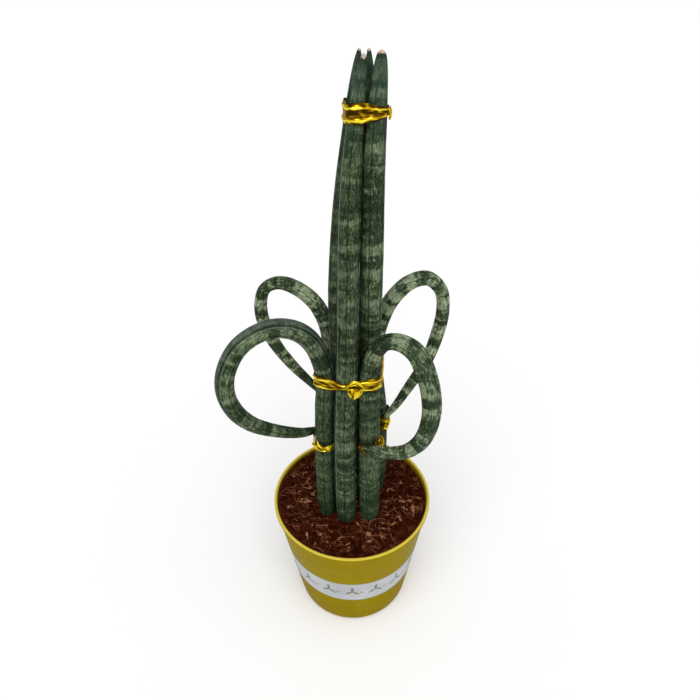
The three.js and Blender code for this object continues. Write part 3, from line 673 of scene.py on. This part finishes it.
def points_at(lengths, reached, points):
    """The places at those lengths along a line."""
    return np.column_stack([np.interp(lengths, reached, column) for column in points.T])


def along_leaf(leaf):
    """Centres, directions, lengths and radii along a leaf."""
    dense = smooth_path(leaf["path"])
    reached = lengths_to(dense)
    whole = reached[-1]
    shaft = np.arange(0, whole - LEAF_TIP_LENGTH, LEAF_STEP)
    tip = np.arange(whole - LEAF_TIP_LENGTH, whole, LEAF_TIP_STEP)
    lengths = np.r_[shaft, tip, whole]
    centres = points_at(lengths, reached, dense)
    ways = np.gradient(centres, axis=0)
    ways /= np.linalg.norm(ways, axis=1)[:, None]
    return centres, ways, lengths, leaf_radius(leaf, lengths / whole)


def groove_depths(turns, seed):
    """How deep the channel and the grooves are round the leaf, as shares of its radius."""
    draw = random.Random(seed)
    lines = [(0, *CHANNEL)] + [(index, *GROOVE) for index in range(1, GROOVES)]
    lines += [(index + draw.uniform(0.3, 0.7), *FINE_GROOVE) for index in range(GROOVES)]
    depths = np.zeros_like(turns)
    for place, depth, half in lines:
        away = (turns - place / GROOVES * TAU + math.pi) % TAU - math.pi
        depths = np.maximum(depths, depth * np.exp(-(away / half) ** 2))
    return depths


def make_leaf(name, leaf, seed):
    """A leaf's skin, with its channel and grooves, closed round its tip."""
    centres, ways, lengths, radii = along_leaf(leaf)
    left = lengths[-1] - lengths
    end = np.clip(1 - left / TIP_RADIUS, 0, 1)
    radii = radii * np.sqrt(np.maximum(1 - end ** 2, 0.02))
    turns = np.arange(LEAF_SIDES) / LEAF_SIDES * TAU
    depths = groove_depths(turns, seed)
    from_channel = (turns + math.pi) % TAU - math.pi
    from_middle = np.abs(from_channel)
    # the painted shade lies in the grooves and in a line down the channel's middle, not on its
    # sides
    beside_line = (from_middle > CHANNEL_LINE) & (from_middle < CHANNEL[1] * 1.6)
    lines = np.where(beside_line, 0, depths)
    fade = np.clip(left / GROOVE_FADE, 0, 1)
    cosines, sines = np.cos(turns), np.sin(turns)
    outwards = unit(leaf["inwards"])
    vertices, straight = [], []
    for centre, way, length, radius, kept in zip(centres, ways, lengths, radii, fade):
        outwards = unit(outwards - way * outwards.dot(way))
        sideways = np.cross(way, outwards)
        lumps = np.array([
            noise.noise(Vector((cosine * 0.9, sine * 0.9, length * 0.07 + seed * 9)))
            for cosine, sine in zip(cosines, sines)
        ])
        reach = radius * (1 - depths * kept) * (0.99 + LEAF_LUMPS * lumps)
        vertices.append(centre + np.outer(reach * cosines, outwards)
                        + np.outer(reach * sines, sideways))
        straight.append(np.column_stack([
            radius * cosines, radius * sines, np.full(LEAF_SIDES, length)
        ]))
    rings = len(vertices)
    attributes = {
        "straight": np.vstack(straight) * MM,
        "groove_shade": np.clip(np.tile(lines / GROOVE[0], rings) * np.repeat(fade, LEAF_SIDES), 0, 1),
        "from_channel": np.tile(from_channel, rings),
        "to_tip": np.repeat(left, LEAF_SIDES) * MM,
    }
    thing = add_object(name + "_skin", np.vstack(vertices), tube_faces(rings, LEAF_SIDES),
                       leaf_look(name, seed, leaf), attributes=attributes)
    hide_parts(name)


# ---- Ties as meshes --------------------------------------------------------------------
FOIL_STEP = 0.7               # along a ring
FOIL_ROWS = 17                # across it
FOIL_LEAST = 0.2              # thinnest the ribbon gets, and its room beside a leaf
FOLD_COLUMNS = 11
FOLD_THICKNESS = 0.9
STRANDS = ((0.5, 0.13, 0.85), (-0.66, 0.13, 0.8))     # height, spread and rise of each ridge


def way_round(ring):
    """The shortest way round a ring's leaves, as points in space, with outward
    directions and the way that its height runs."""
    square = unit(ring["normal"])
    lean = unit(ring.get("lean", ring["normal"]))
    across = unit(np.array([1, 0, 0]) - square * square[0])
    upwards = np.cross(square, across)
    origin = np.array(ring["at"], float)
    circles = []
    for name, (start, end) in ring["round"]:
        centres, _, lengths, radii = along_leaf(LEAVES[name])
        share = lengths / lengths[-1]
        height = (centres - origin) @ square
        away = centres - origin - np.outer(height / lean.dot(square), lean)
        near = (np.abs(height) <= ring["half"] + FOIL_REACH) & (share >= start) & (share <= end)
        circles += list(zip(away[near] @ across, away[near] @ upwards, radii[near]))
    circles = np.array(circles)
    turns = np.linspace(0, TAU, 721)
    outs = np.column_stack([np.cos(turns), np.sin(turns)])
    far = (outs @ circles[:, :2].T + circles[:, 2]).argmax(axis=1)
    flat = circles[far, :2] + outs * (circles[far, 2] + TIE_CLEARANCE)[:, None]
    reached = lengths_to(flat)
    count = int(reached[-1] / FOIL_STEP)
    flat = points_at(np.arange(count) / count * reached[-1], reached, flat)
    run = np.roll(flat, -1, axis=0) - np.roll(flat, 1, axis=0)
    run /= np.linalg.norm(run, axis=1)[:, None]
    out = np.column_stack([run[:, 1], -run[:, 0]])
    plane = np.array([across, upwards])
    return origin + flat @ plane, out @ plane, lean


def skin_places():
    """Centres and radii all along the leaves."""
    found = [along_leaf(leaf) for leaf in LEAVES.values()]
    return np.vstack([one[0] for one in found]), np.concatenate([one[3] for one in found])


def foil_ring(ring, seed, skins):
    """A gathered ribbon with two raised strands, pleated lengthwise: a closed skin."""
    places, outs, lean = way_round(ring)
    knot = np.array(ring["knot"], float)
    vertices, hollow_shade, ribbon = [], [], []
    for index, (place, out) in enumerate(zip(places, outs)):
        turn = index / len(places) * TAU
        spot = Vector((math.cos(turn) * 4, math.sin(turn) * 4, seed * 7.3))
        apart = eased(min(np.linalg.norm(place - knot) / ring["gather"], 1))
        half = ring["tight"] + (ring["half"] - ring["tight"]) * apart
        half *= 1 + 0.12 * noise.noise(spot * 1.6)
        drift = 0.3 * noise.noise(spot * 0.6 + Vector((0, 0, 3)))
        wander = 0.1 * noise.noise(spot * 0.9 + Vector((7, 0, 0)))
        for row in range(FOIL_ROWS):
            share = 1 - row / (FOIL_ROWS - 1) * 2
            along = Vector((math.cos(turn) * 3, math.sin(turn) * 3, share * 3.4 + seed * 9))
            pleat = noise.noise(along * 1.5)
            crumple = noise.noise(Vector((index * 0.22, share * half * 0.6, seed * 3.7)))
            ridge = sum(rise * math.exp(-((share - at - wander) / wide) ** 2)
                        for at, wide, rise in STRANDS) * min(half / 2.4, 1)
            lift = 0.34 + ridge + 0.18 * pleat + 0.14 * crumple
            base = place + lean * (share * half + drift)
            edge = 1 - 0.6 * abs(share) ** 8
            room = (np.linalg.norm(skins[0] - base - out * 0.6, axis=1) - skins[1]).min() + 0.6
            lift = max(min(lift * edge, room - FOIL_LEAST), FOIL_LEAST)
            vertices.append(base + out * lift)
            # painted shade between the strands and in the pleats, none on the ridges
            sunk = ring["web_shade"] - 1.5 * ridge - 0.9 * pleat
            hollow_shade.append(min(max(sunk, 0), 1))
            ribbon.append((index * FOIL_STEP, share * half, 0))
        for share in (-0.94, 0.94):
            vertices.append(place + lean * (share * half + drift))
            # painted shade on the ribbon's back
            hollow_shade.append(0.7)
            ribbon.append((index * FOIL_STEP, share * half, 0))
    sides = FOIL_ROWS + 2
    return np.array(vertices), tube_faces(len(places), sides, endless=True), hollow_shade, ribbon


def foil_fold(path, width, tip, middle, seed):
    """A cupped, crumpled end or strand of foil along a path, as a closed shell."""
    centres = smooth_path(path, 8 if len(path) > 2 else 14)
    ways = np.gradient(centres, axis=0)
    vertices, hollow_shade, ribbon = [], [], []
    for index, (centre, way) in enumerate(zip(centres, ways)):
        u = index / (len(centres) - 1)
        way = unit(way)
        outward = np.array([centre[0] - middle[0], centre[1] - middle[1], 0])
        outward = unit(outward - way * outward.dot(way))
        across = np.cross(way, outward)
        wide = width + (tip - width) * u
        wide *= 1 + 0.16 * noise.noise(Vector((u * 5, seed * 3, 1)))
        closing = math.sqrt(min(1, 4 * (1 - u) + 0.12))
        sheet = min(wide / 5, 1)            # 1 for a flat end, less for a round strand
        ring = []
        for column in range(FOLD_COLUMNS):
            v = column / (FOLD_COLUMNS - 1) * 2 - 1
            grain = Vector((u * 2 + seed * 4.1, v * wide * 0.45, seed))
            crumple = 0.7 * noise.noise(grain * 1.2) + 0.45 * abs(noise.noise(grain * 2.6))
            crumple *= sheet
            cup = sheet * (0.5 - 0.9 * v * v)
            # the third value is painted shade, less where the foil crumples outwards
            ring.append((v, cup + crumple, min(max(0.25 - crumple * 1.4, 0), 1)))
        thick = FOLD_THICKNESS / 2 * (0.45 + 0.55 * (1 - sheet)) * closing
        for side, columns in ((1, reversed(ring)), (-1, ring)):
            for v, lift, depth in columns:
                bulge = math.sqrt(max(1 - v * v, 0.05)) if sheet < 0.6 else max(1 - v ** 8, 0.2)
                vertices.append(centre + across * (v * wide / 2 * closing)
                                + outward * (lift + side * thick * bulge))
                # painted shade: by crumple on the outer side, 0.7 on the inner side
                hollow_shade.append(depth if side > 0 else 0.7)
                ribbon.append((u * 12, v * wide / 2, 5))
    faces = tube_faces(len(centres), FOLD_COLUMNS * 2)
    return np.array(vertices), faces, hollow_shade, ribbon


def make_tie(name, tie, seed, material, skins):
    """A tie's rings, loose ends and strands, in one object."""
    blocks = [foil_ring(ring, seed + index * 0.37, skins)
              for index, ring in enumerate(tie["rings"])]
    blocks += [foil_fold(path, width, tip, tie["rings"][0]["at"], seed + index * 1.7)
               for index, (path, width, tip) in enumerate(tie["folds"])]
    vertices, faces, hollow_shade, ribbon = [], [], [], []
    for points, quads, depths, places in blocks:
        faces += shifted(quads, len(vertices))
        vertices += list(points)
        hollow_shade += depths
        ribbon += places
    thing = add_object(name + "_foil", vertices, faces, material,
                       attributes={"hollow_shade": hollow_shade, "ribbon": np.array(ribbon) * MM})
    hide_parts(name)


# ---- Pot and band ----------------------------------------------------------------------
POT_SIDES = 160
SHARP_ANGLE = math.radians(35)


def wall_radius(height):
    share = height / (POT_HEIGHT - LIP_HEIGHT)
    return POT_BASE_RADIUS + (POT_WALL_TOP_RADIUS - POT_BASE_RADIUS) * share


def inner_radius(height):
    return wall_radius(height) - POT_WALL


def rounded(corner, before, after, radius, steps=4):
    """Points of an arc-like curve that cuts a corner between its neighbours."""
    corner, before, after = (np.array(point, float) for point in (corner, before, after))
    start = corner + unit(before - corner) * radius
    end = corner + unit(after - corner) * radius
    shares = np.arange(steps + 1) / steps
    return [tuple(start * (1 - t) ** 2 + corner * 2 * t * (1 - t) + end * t ** 2) for t in shares]


def pot_outline():
    """The pot's section, from the middle of its underside round the rim to its floor.
    Each corner has the length that rounding takes off its sides."""
    recess = BAND_THICKNESS + BAND_GAP
    low, high = BAND_BOTTOM - BAND_GAP, BAND_TOP + BAND_GAP
    lip = POT_HEIGHT - LIP_HEIGHT
    fillet_top = POT_FLOOR + 2
    corners = [
        ((POT_BASE_RADIUS - FOOT_INSET, 0), 2.2),
        ((wall_radius(FOOT_HEIGHT) - 0.3, FOOT_HEIGHT), 2),
        ((wall_radius(low), low), 0.25), ((wall_radius(low) - recess, low), 0.2),
        ((wall_radius(high) - recess, high), 0.2), ((wall_radius(high), high), 0.25),
        ((wall_radius(lip), lip), 0.3), ((POT_RIM_RADIUS, lip + 0.5), 0.5),
        ((POT_RIM_RADIUS, POT_HEIGHT), 1.1), ((POT_RIM_RADIUS - LIP_WIDTH, POT_HEIGHT), 0.9),
        ((inner_radius(lip), lip), 0.8), ((inner_radius(fillet_top), fillet_top), 0.8),
        ((inner_radius(POT_FLOOR) - FOOT_INSET, POT_FLOOR), 0.8),
    ]
    points = [(0, 0)] + [point for point, _ in corners] + [(0, POT_FLOOR)]
    rings = 0.01, 20, 36
    outline = [(radius, 0) for radius in rings]
    for index, (point, cut) in enumerate(corners):
        outline += rounded(point, points[index], points[index + 2], cut)
    return outline + [(radius, POT_FLOOR) for radius in reversed(rings)]


def make_drill():
    """Pegs where the drain holes go."""
    pegs = bmesh.new()
    for hole in range(DRAIN_HOLES):
        turn = hole / DRAIN_HOLES * TAU
        place = Vector((DRAIN_CIRCLE * math.cos(turn), DRAIN_CIRCLE * math.sin(turn),
                        POT_FLOOR / 2)) * MM
        bmesh.ops.create_cone(pegs, cap_ends=True, segments=32, radius1=DRAIN_RADIUS * MM,
                              radius2=DRAIN_RADIUS * MM, depth=POT_FLOOR * 3 * MM,
                              matrix=Matrix.Translation(place))
    mesh = bpy.data.meshes.new("drill")
    pegs.to_mesh(mesh)
    pegs.free()
    return new_object("drill", mesh)


def make_pot():
    """The pot's shell, with its drain holes cut."""
    thing = add_object("pot_shell", *lathe(pot_outline(), POT_SIDES), pot_look())
    drill = make_drill()
    cut = thing.modifiers.new("drain_holes", "BOOLEAN")
    cut.operation = "DIFFERENCE"
    cut.solver = "EXACT"
    cut.object = drill
    graph = bpy.context.evaluated_depsgraph_get()
    drilled = bpy.data.meshes.new_from_object(thing.evaluated_get(graph))
    thing.modifiers.clear()
    thing.data = drilled
    bpy.data.objects.remove(drill)
    thing.data.polygons.foreach_set("use_smooth", [True] * len(thing.data.polygons))
    thing.data.set_sharp_from_angle(angle=SHARP_ANGLE)
    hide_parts("pot")


def make_band():
    """The film in the pot's recess, flush with its wall."""
    rows = 12
    heights = [BAND_BOTTOM + (BAND_TOP - BAND_BOTTOM) * row / rows for row in range(rows + 1)]
    outline = [(wall_radius(height), height) for height in heights]
    outline += [(wall_radius(height) - BAND_THICKNESS, height)
                for height in (BAND_TOP, BAND_BOTTOM)]
    thing = add_object("label_band_film", *lathe(outline, POT_SIDES), band_look())
    thing.data.set_sharp_from_angle(angle=SHARP_ANGLE)
    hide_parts("label_band")


# ---- Soil ------------------------------------------------------------------------------
SOIL_SIDES = 168
SOIL_RINGS = 56
FIBRES = 2600
CHIPS = 300
# how far from the middle loose husk and single chips lie, and fibres turn and end
LITTER_REACH, CHIP_REACH, FIBRE_TURN, FIBRE_REACH = 60, 57, 60.2, 61
# the larger chips of husk: place, length, width, and turn in degrees
NAMED_CHIPS = [((-41, -5), 15, 5.5, -12), ((12, -38), 9, 3, -35), ((42, -6), 7, 3, -28),
               ((50.5, -16), 13, 2.6, 88), ((-32, -29), 9, 1.6, 62), ((-51, -12), 6, 3, 20),
               ((33, -4), 12, 1.1, 14), ((14, -45), 7, 2, 24), ((39, -25), 8, 1.6, 100)]


def soil_height(x, y):
    """The surface of the coir, dished and rough down to its single shreds."""
    dish = SOIL_DISH * (math.hypot(x, y) / POT_WALL_TOP_RADIUS) ** 3
    swell = math.sin(x * 0.11 + 1.3) * math.cos(y * 0.09 + 0.4)
    lumps = math.sin(x * 0.53 + y * 0.31) * math.sin(y * 0.47 - x * 0.22 + 2)
    crumbs = noise.noise(Vector((x * 0.35, y * 0.35, 2)))
    crumbs += 0.5 * noise.noise(Vector((x * 0.9, y * 0.9, 7)))
    rough = SOIL_ROUGHNESS * (0.35 * swell + 0.4 * lumps + 0.3 * crumbs)
    return SOIL_LEVEL + dish - SOIL_SLOPE * x + rough - 0.2


def make_soil_bed():
    """The bed of coir, which fills the pot to its rough top."""
    bottom, bevel = POT_FLOOR + 0.3, 3.2
    brink = SOIL_LEVEL - 3
    edge = inner_radius(SOIL_LEVEL + SOIL_DISH) - SOIL_GAP
    vertices = []

    def circle(radius, height):
        for side in range(SOIL_SIDES):
            turn = side / SOIL_SIDES * TAU
            x, y = radius * math.cos(turn), radius * math.sin(turn)
            vertices.append((x, y, height(x, y)))

    for radius in (0.3, 20, inner_radius(bottom) - bevel):
        circle(radius, lambda x, y: bottom)
    circle(inner_radius(bottom + bevel) - SOIL_GAP, lambda x, y: bottom + bevel)
    circle(inner_radius(brink) - SOIL_GAP, lambda x, y: brink)
    for ring in range(SOIL_RINGS, 0, -1):
        circle(edge * ring / SOIL_RINGS, soil_height)
    rings = len(vertices) // SOIL_SIDES
    material = coir_look("coir_bed", (38, 8, 0), (74, 30, 13), (116, 68, 46), 0)
    thing = add_object("soil_bed", vertices, tube_faces(rings, SOIL_SIDES), material)
    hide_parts("soil")


def taken(x, y, margin):
    """Whether a place on the soil is under a leaf."""
    return any(math.dist((x, y), leaf["path"][1][:2]) < leaf["foot"] / 2 + margin
               for leaf in LEAVES.values())


def spread(draw, margin):
    """A random free place on the soil."""
    while True:
        radius = LITTER_REACH * math.sqrt(draw.random())
        turn = draw.uniform(0, TAU)
        x, y = radius * math.cos(turn), radius * math.sin(turn)
        if not taken(x, y, margin):
            return x, y


def strand_skin(points, thick, sides):
    """Rings of points round a flattened strand that thins towards its ends."""
    skin = []
    last = len(points) - 1
    for index, point in enumerate(points):
        way = unit(np.subtract(points[min(index + 1, last)], points[max(index - 1, 0)]))
        sideways = unit(np.cross(way, (0, 0, 1)) + 1e-6)
        up = np.cross(sideways, way)
        radius = thick * (0.45 + 0.55 * math.sin(math.pi * (0.1 + 0.8 * (index / last))))
        for side in range(sides):
            turn = side / sides * TAU
            skin.append(np.array(point) + sideways * (radius * 1.5 * math.cos(turn))
                        + up * (radius * math.sin(turn)))
    return skin


def make_soil_fibres():
    """Curled strands of coir that lie across each other on the bed."""
    draw = random.Random(41)
    vertices, faces, tone = [], [], []
    segments, sides = 7, 3
    for _ in range(FIBRES):
        x, y = spread(draw, 0.5)
        heading = draw.uniform(0, TAU)
        bend = draw.gauss(0, 0.16)
        length = draw.uniform(3, 13)
        thick = draw.uniform(0.1, 0.34)
        rise = draw.uniform(0.0, 1.3)
        shade = draw.random() ** 2.4
        points = []
        for step in range(segments + 1):
            arch = rise * math.sin(math.pi * (step / segments)) + 0.2
            if math.hypot(x, y) >= FIBRE_TURN:
                heading += 0.9
            points.append((x, y, soil_height(x, y) + arch))
            x += math.cos(heading) * length / segments
            y += math.sin(heading) * length / segments
            heading += bend + draw.gauss(0, 0.1)
        points = [point for point in points if math.hypot(point[0], point[1]) < FIBRE_REACH]
        if len(points) < 3:
            continue
        faces += shifted(tube_faces(len(points), sides), len(vertices))
        vertices += strand_skin(points, thick, sides)
        tone += [shade] * (len(points) * sides)
    material = coir_look("coir_fibres", (48, 12, 1), (86, 40, 20), (142, 94, 66), 0.72)
    thing = add_object("soil_fibres", vertices, faces, material, attributes={"tone": tone})


def make_soil_chips():
    """Splinters and flakes of husk, half sunk."""
    draw = random.Random(17)
    vertices, faces, tone = [], [], []
    places = [(*at, length, width, math.radians(turn), 0.85)
              for at, length, width, turn in NAMED_CHIPS]
    for _ in range(CHIPS):
        x, y = spread(draw, 2)
        if math.hypot(x, y) > CHIP_REACH:
            continue
        places.append((x, y, draw.uniform(2.5, 8), draw.uniform(0.8, 2.4), draw.uniform(0, TAU),
                       draw.random() ** 1.4))
    segments, columns = 6, 4
    across = [column / (columns - 1) * 2 - 1 for column in range(columns)]
    for x, y, length, width, turn, shade in places:
        way = np.array([math.cos(turn), math.sin(turn), 0])
        beside = np.array([-math.sin(turn), math.cos(turn), 0])
        tilt = draw.uniform(-0.12, 0.2)
        roll = draw.uniform(-0.3, 0.3)
        bow = draw.uniform(-0.05, 0.05)
        middle = np.array([x, y, soil_height(x, y) + 0.55])
        faces += shifted(tube_faces(segments + 1, columns * 2), len(vertices))
        for step in range(segments + 1):
            u = step / segments * 2 - 1
            wide = width / 2 * max(1 - abs(u) ** 2.5, 0.12) * draw.uniform(0.85, 1.1)
            spine = middle + way * (u * length / 2) + beside * (bow * length * u * u)
            spine[2] += tilt * u * length / 2
            thick = 0.22 + 0.16 * (1 - abs(u))
            for v in across:
                lift = thick * (1 - v * v * 0.7) + roll * v * wide + draw.uniform(-0.05, 0.05)
                vertices.append(spine + beside * (v * wide) + np.array([0, 0, lift]))
            for v in reversed(across):
                sunk = roll * v * wide - thick
                vertices.append(spine + beside * (v * wide * 0.9) + np.array([0, 0, sunk]))
            tone += [shade] * (columns * 2)
    material = coir_look("coir_chips", (56, 20, 8), (104, 58, 36), (166, 118, 84), 0.7)
    thing = add_object("soil_chips", vertices, faces, material, smooth=False,
                       attributes={"tone": tone})


# ---- The studio ------------------------------------------------------------------------
CAMERA_PLACE = (0, -0.3192, 0.4821)
CAMERA_PITCH, CAMERA_YAW, CAMERA_ROLL = 0.610, 0.002, -0.018
SENSOR, LENS = 36, 28.8
WORLD_STRENGTH = 0.55
# each sun's name, strength, spread in degrees, and the way its light goes
SUNS = (("key", 1.7, 60, (0.12, 0.75, -1)), ("fill", 0.5, 80, (-0.5, 0.6, -0.9)))
FLOOR_REACH = 14


def make_camera():
    """The photograph's camera."""
    data = bpy.data.cameras.new("camera")
    data.sensor_width, data.lens = SENSOR, LENS
    data.clip_start, data.clip_end = 0.01, 60
    camera = new_object("camera", data)
    forward = Vector((math.sin(CAMERA_YAW) * math.cos(CAMERA_PITCH),
                      math.cos(CAMERA_YAW) * math.cos(CAMERA_PITCH), -math.sin(CAMERA_PITCH)))
    right = Vector((math.cos(CAMERA_YAW), -math.sin(CAMERA_YAW), 0))
    up = right.cross(forward)
    level = right * math.cos(CAMERA_ROLL) + up * math.sin(CAMERA_ROLL)
    plumb = up * math.cos(CAMERA_ROLL) - right * math.sin(CAMERA_ROLL)
    matrix = Matrix((level, plumb, -forward)).transposed().to_4x4()
    matrix.translation = Vector(CAMERA_PLACE)
    camera.matrix_world = matrix
    bpy.context.scene.camera = camera


def make_floor():
    """A plain, pale floor."""
    look = Look("studio_floor")
    grain = look.noise(look.position(), 900, 2)
    look.set(Base_Color=(0.93, 0.93, 0.93, 1), Specular_IOR_Level=0.1,
             Roughness=look.between(grain, 0.3, 0.7, 0.85, 0.95))
    mesh = bpy.data.meshes.new("studio_floor")
    corners = [(x * FLOOR_REACH, y * FLOOR_REACH, 0)
               for x, y in ((-1, -1), (1, -1), (1, 1), (-1, 1))]
    mesh.from_pydata(corners, [], [(0, 1, 2, 3)])
    mesh.materials.append(look.material)
    floor = new_object("studio_floor", mesh)


def make_light():
    """Soft, even light from all round, with two wide suns from the front."""
    world = bpy.data.worlds.new("studio_world")
    world.use_nodes = True
    background = world.node_tree.nodes["Background"]
    background.inputs["Color"].default_value = (1, 1, 1, 1)
    background.inputs["Strength"].default_value = WORLD_STRENGTH
    bpy.context.scene.world = world
    for name, strength, wide, direction in SUNS:
        data = bpy.data.lights.new(name, "SUN")
        data.energy = strength
        data.angle = math.radians(wide)
        lamp = new_object(name, data)
        lamp.rotation_mode = "QUATERNION"
        lamp.rotation_quaternion = Vector(direction).to_track_quat("-Z", "Y")


make_camera()
make_floor()
make_light()
bpy.context.scene.view_settings.view_transform = "Standard"
for number, (leaf_name, leaf_values) in enumerate(LEAVES.items()):
    make_leaf(leaf_name, leaf_values, number + 1)
bright_foil = foil_look("gold_foil_bright")
foils = {
    "tie_top": foil_look("gold_foil_smooth", crumpled=0.4),
    # a darker copy of the same foil: painted shade
    "tie_front_right": foil_look("gold_foil_shaded", shade=0.12, crumpled=0.5),
}
leaf_skins = skin_places()
for number, (tie_name, tie_values) in enumerate(TIES.items()):
    make_tie(tie_name, tie_values, number + 1, foils.get(tie_name, bright_foil), leaf_skins)
make_pot()
make_band()
make_soil_bed()
make_soil_fibres()
make_soil_chips()
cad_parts["rhizome"].data.materials.clear()
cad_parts["rhizome"].data.materials.append(rhizome_look())
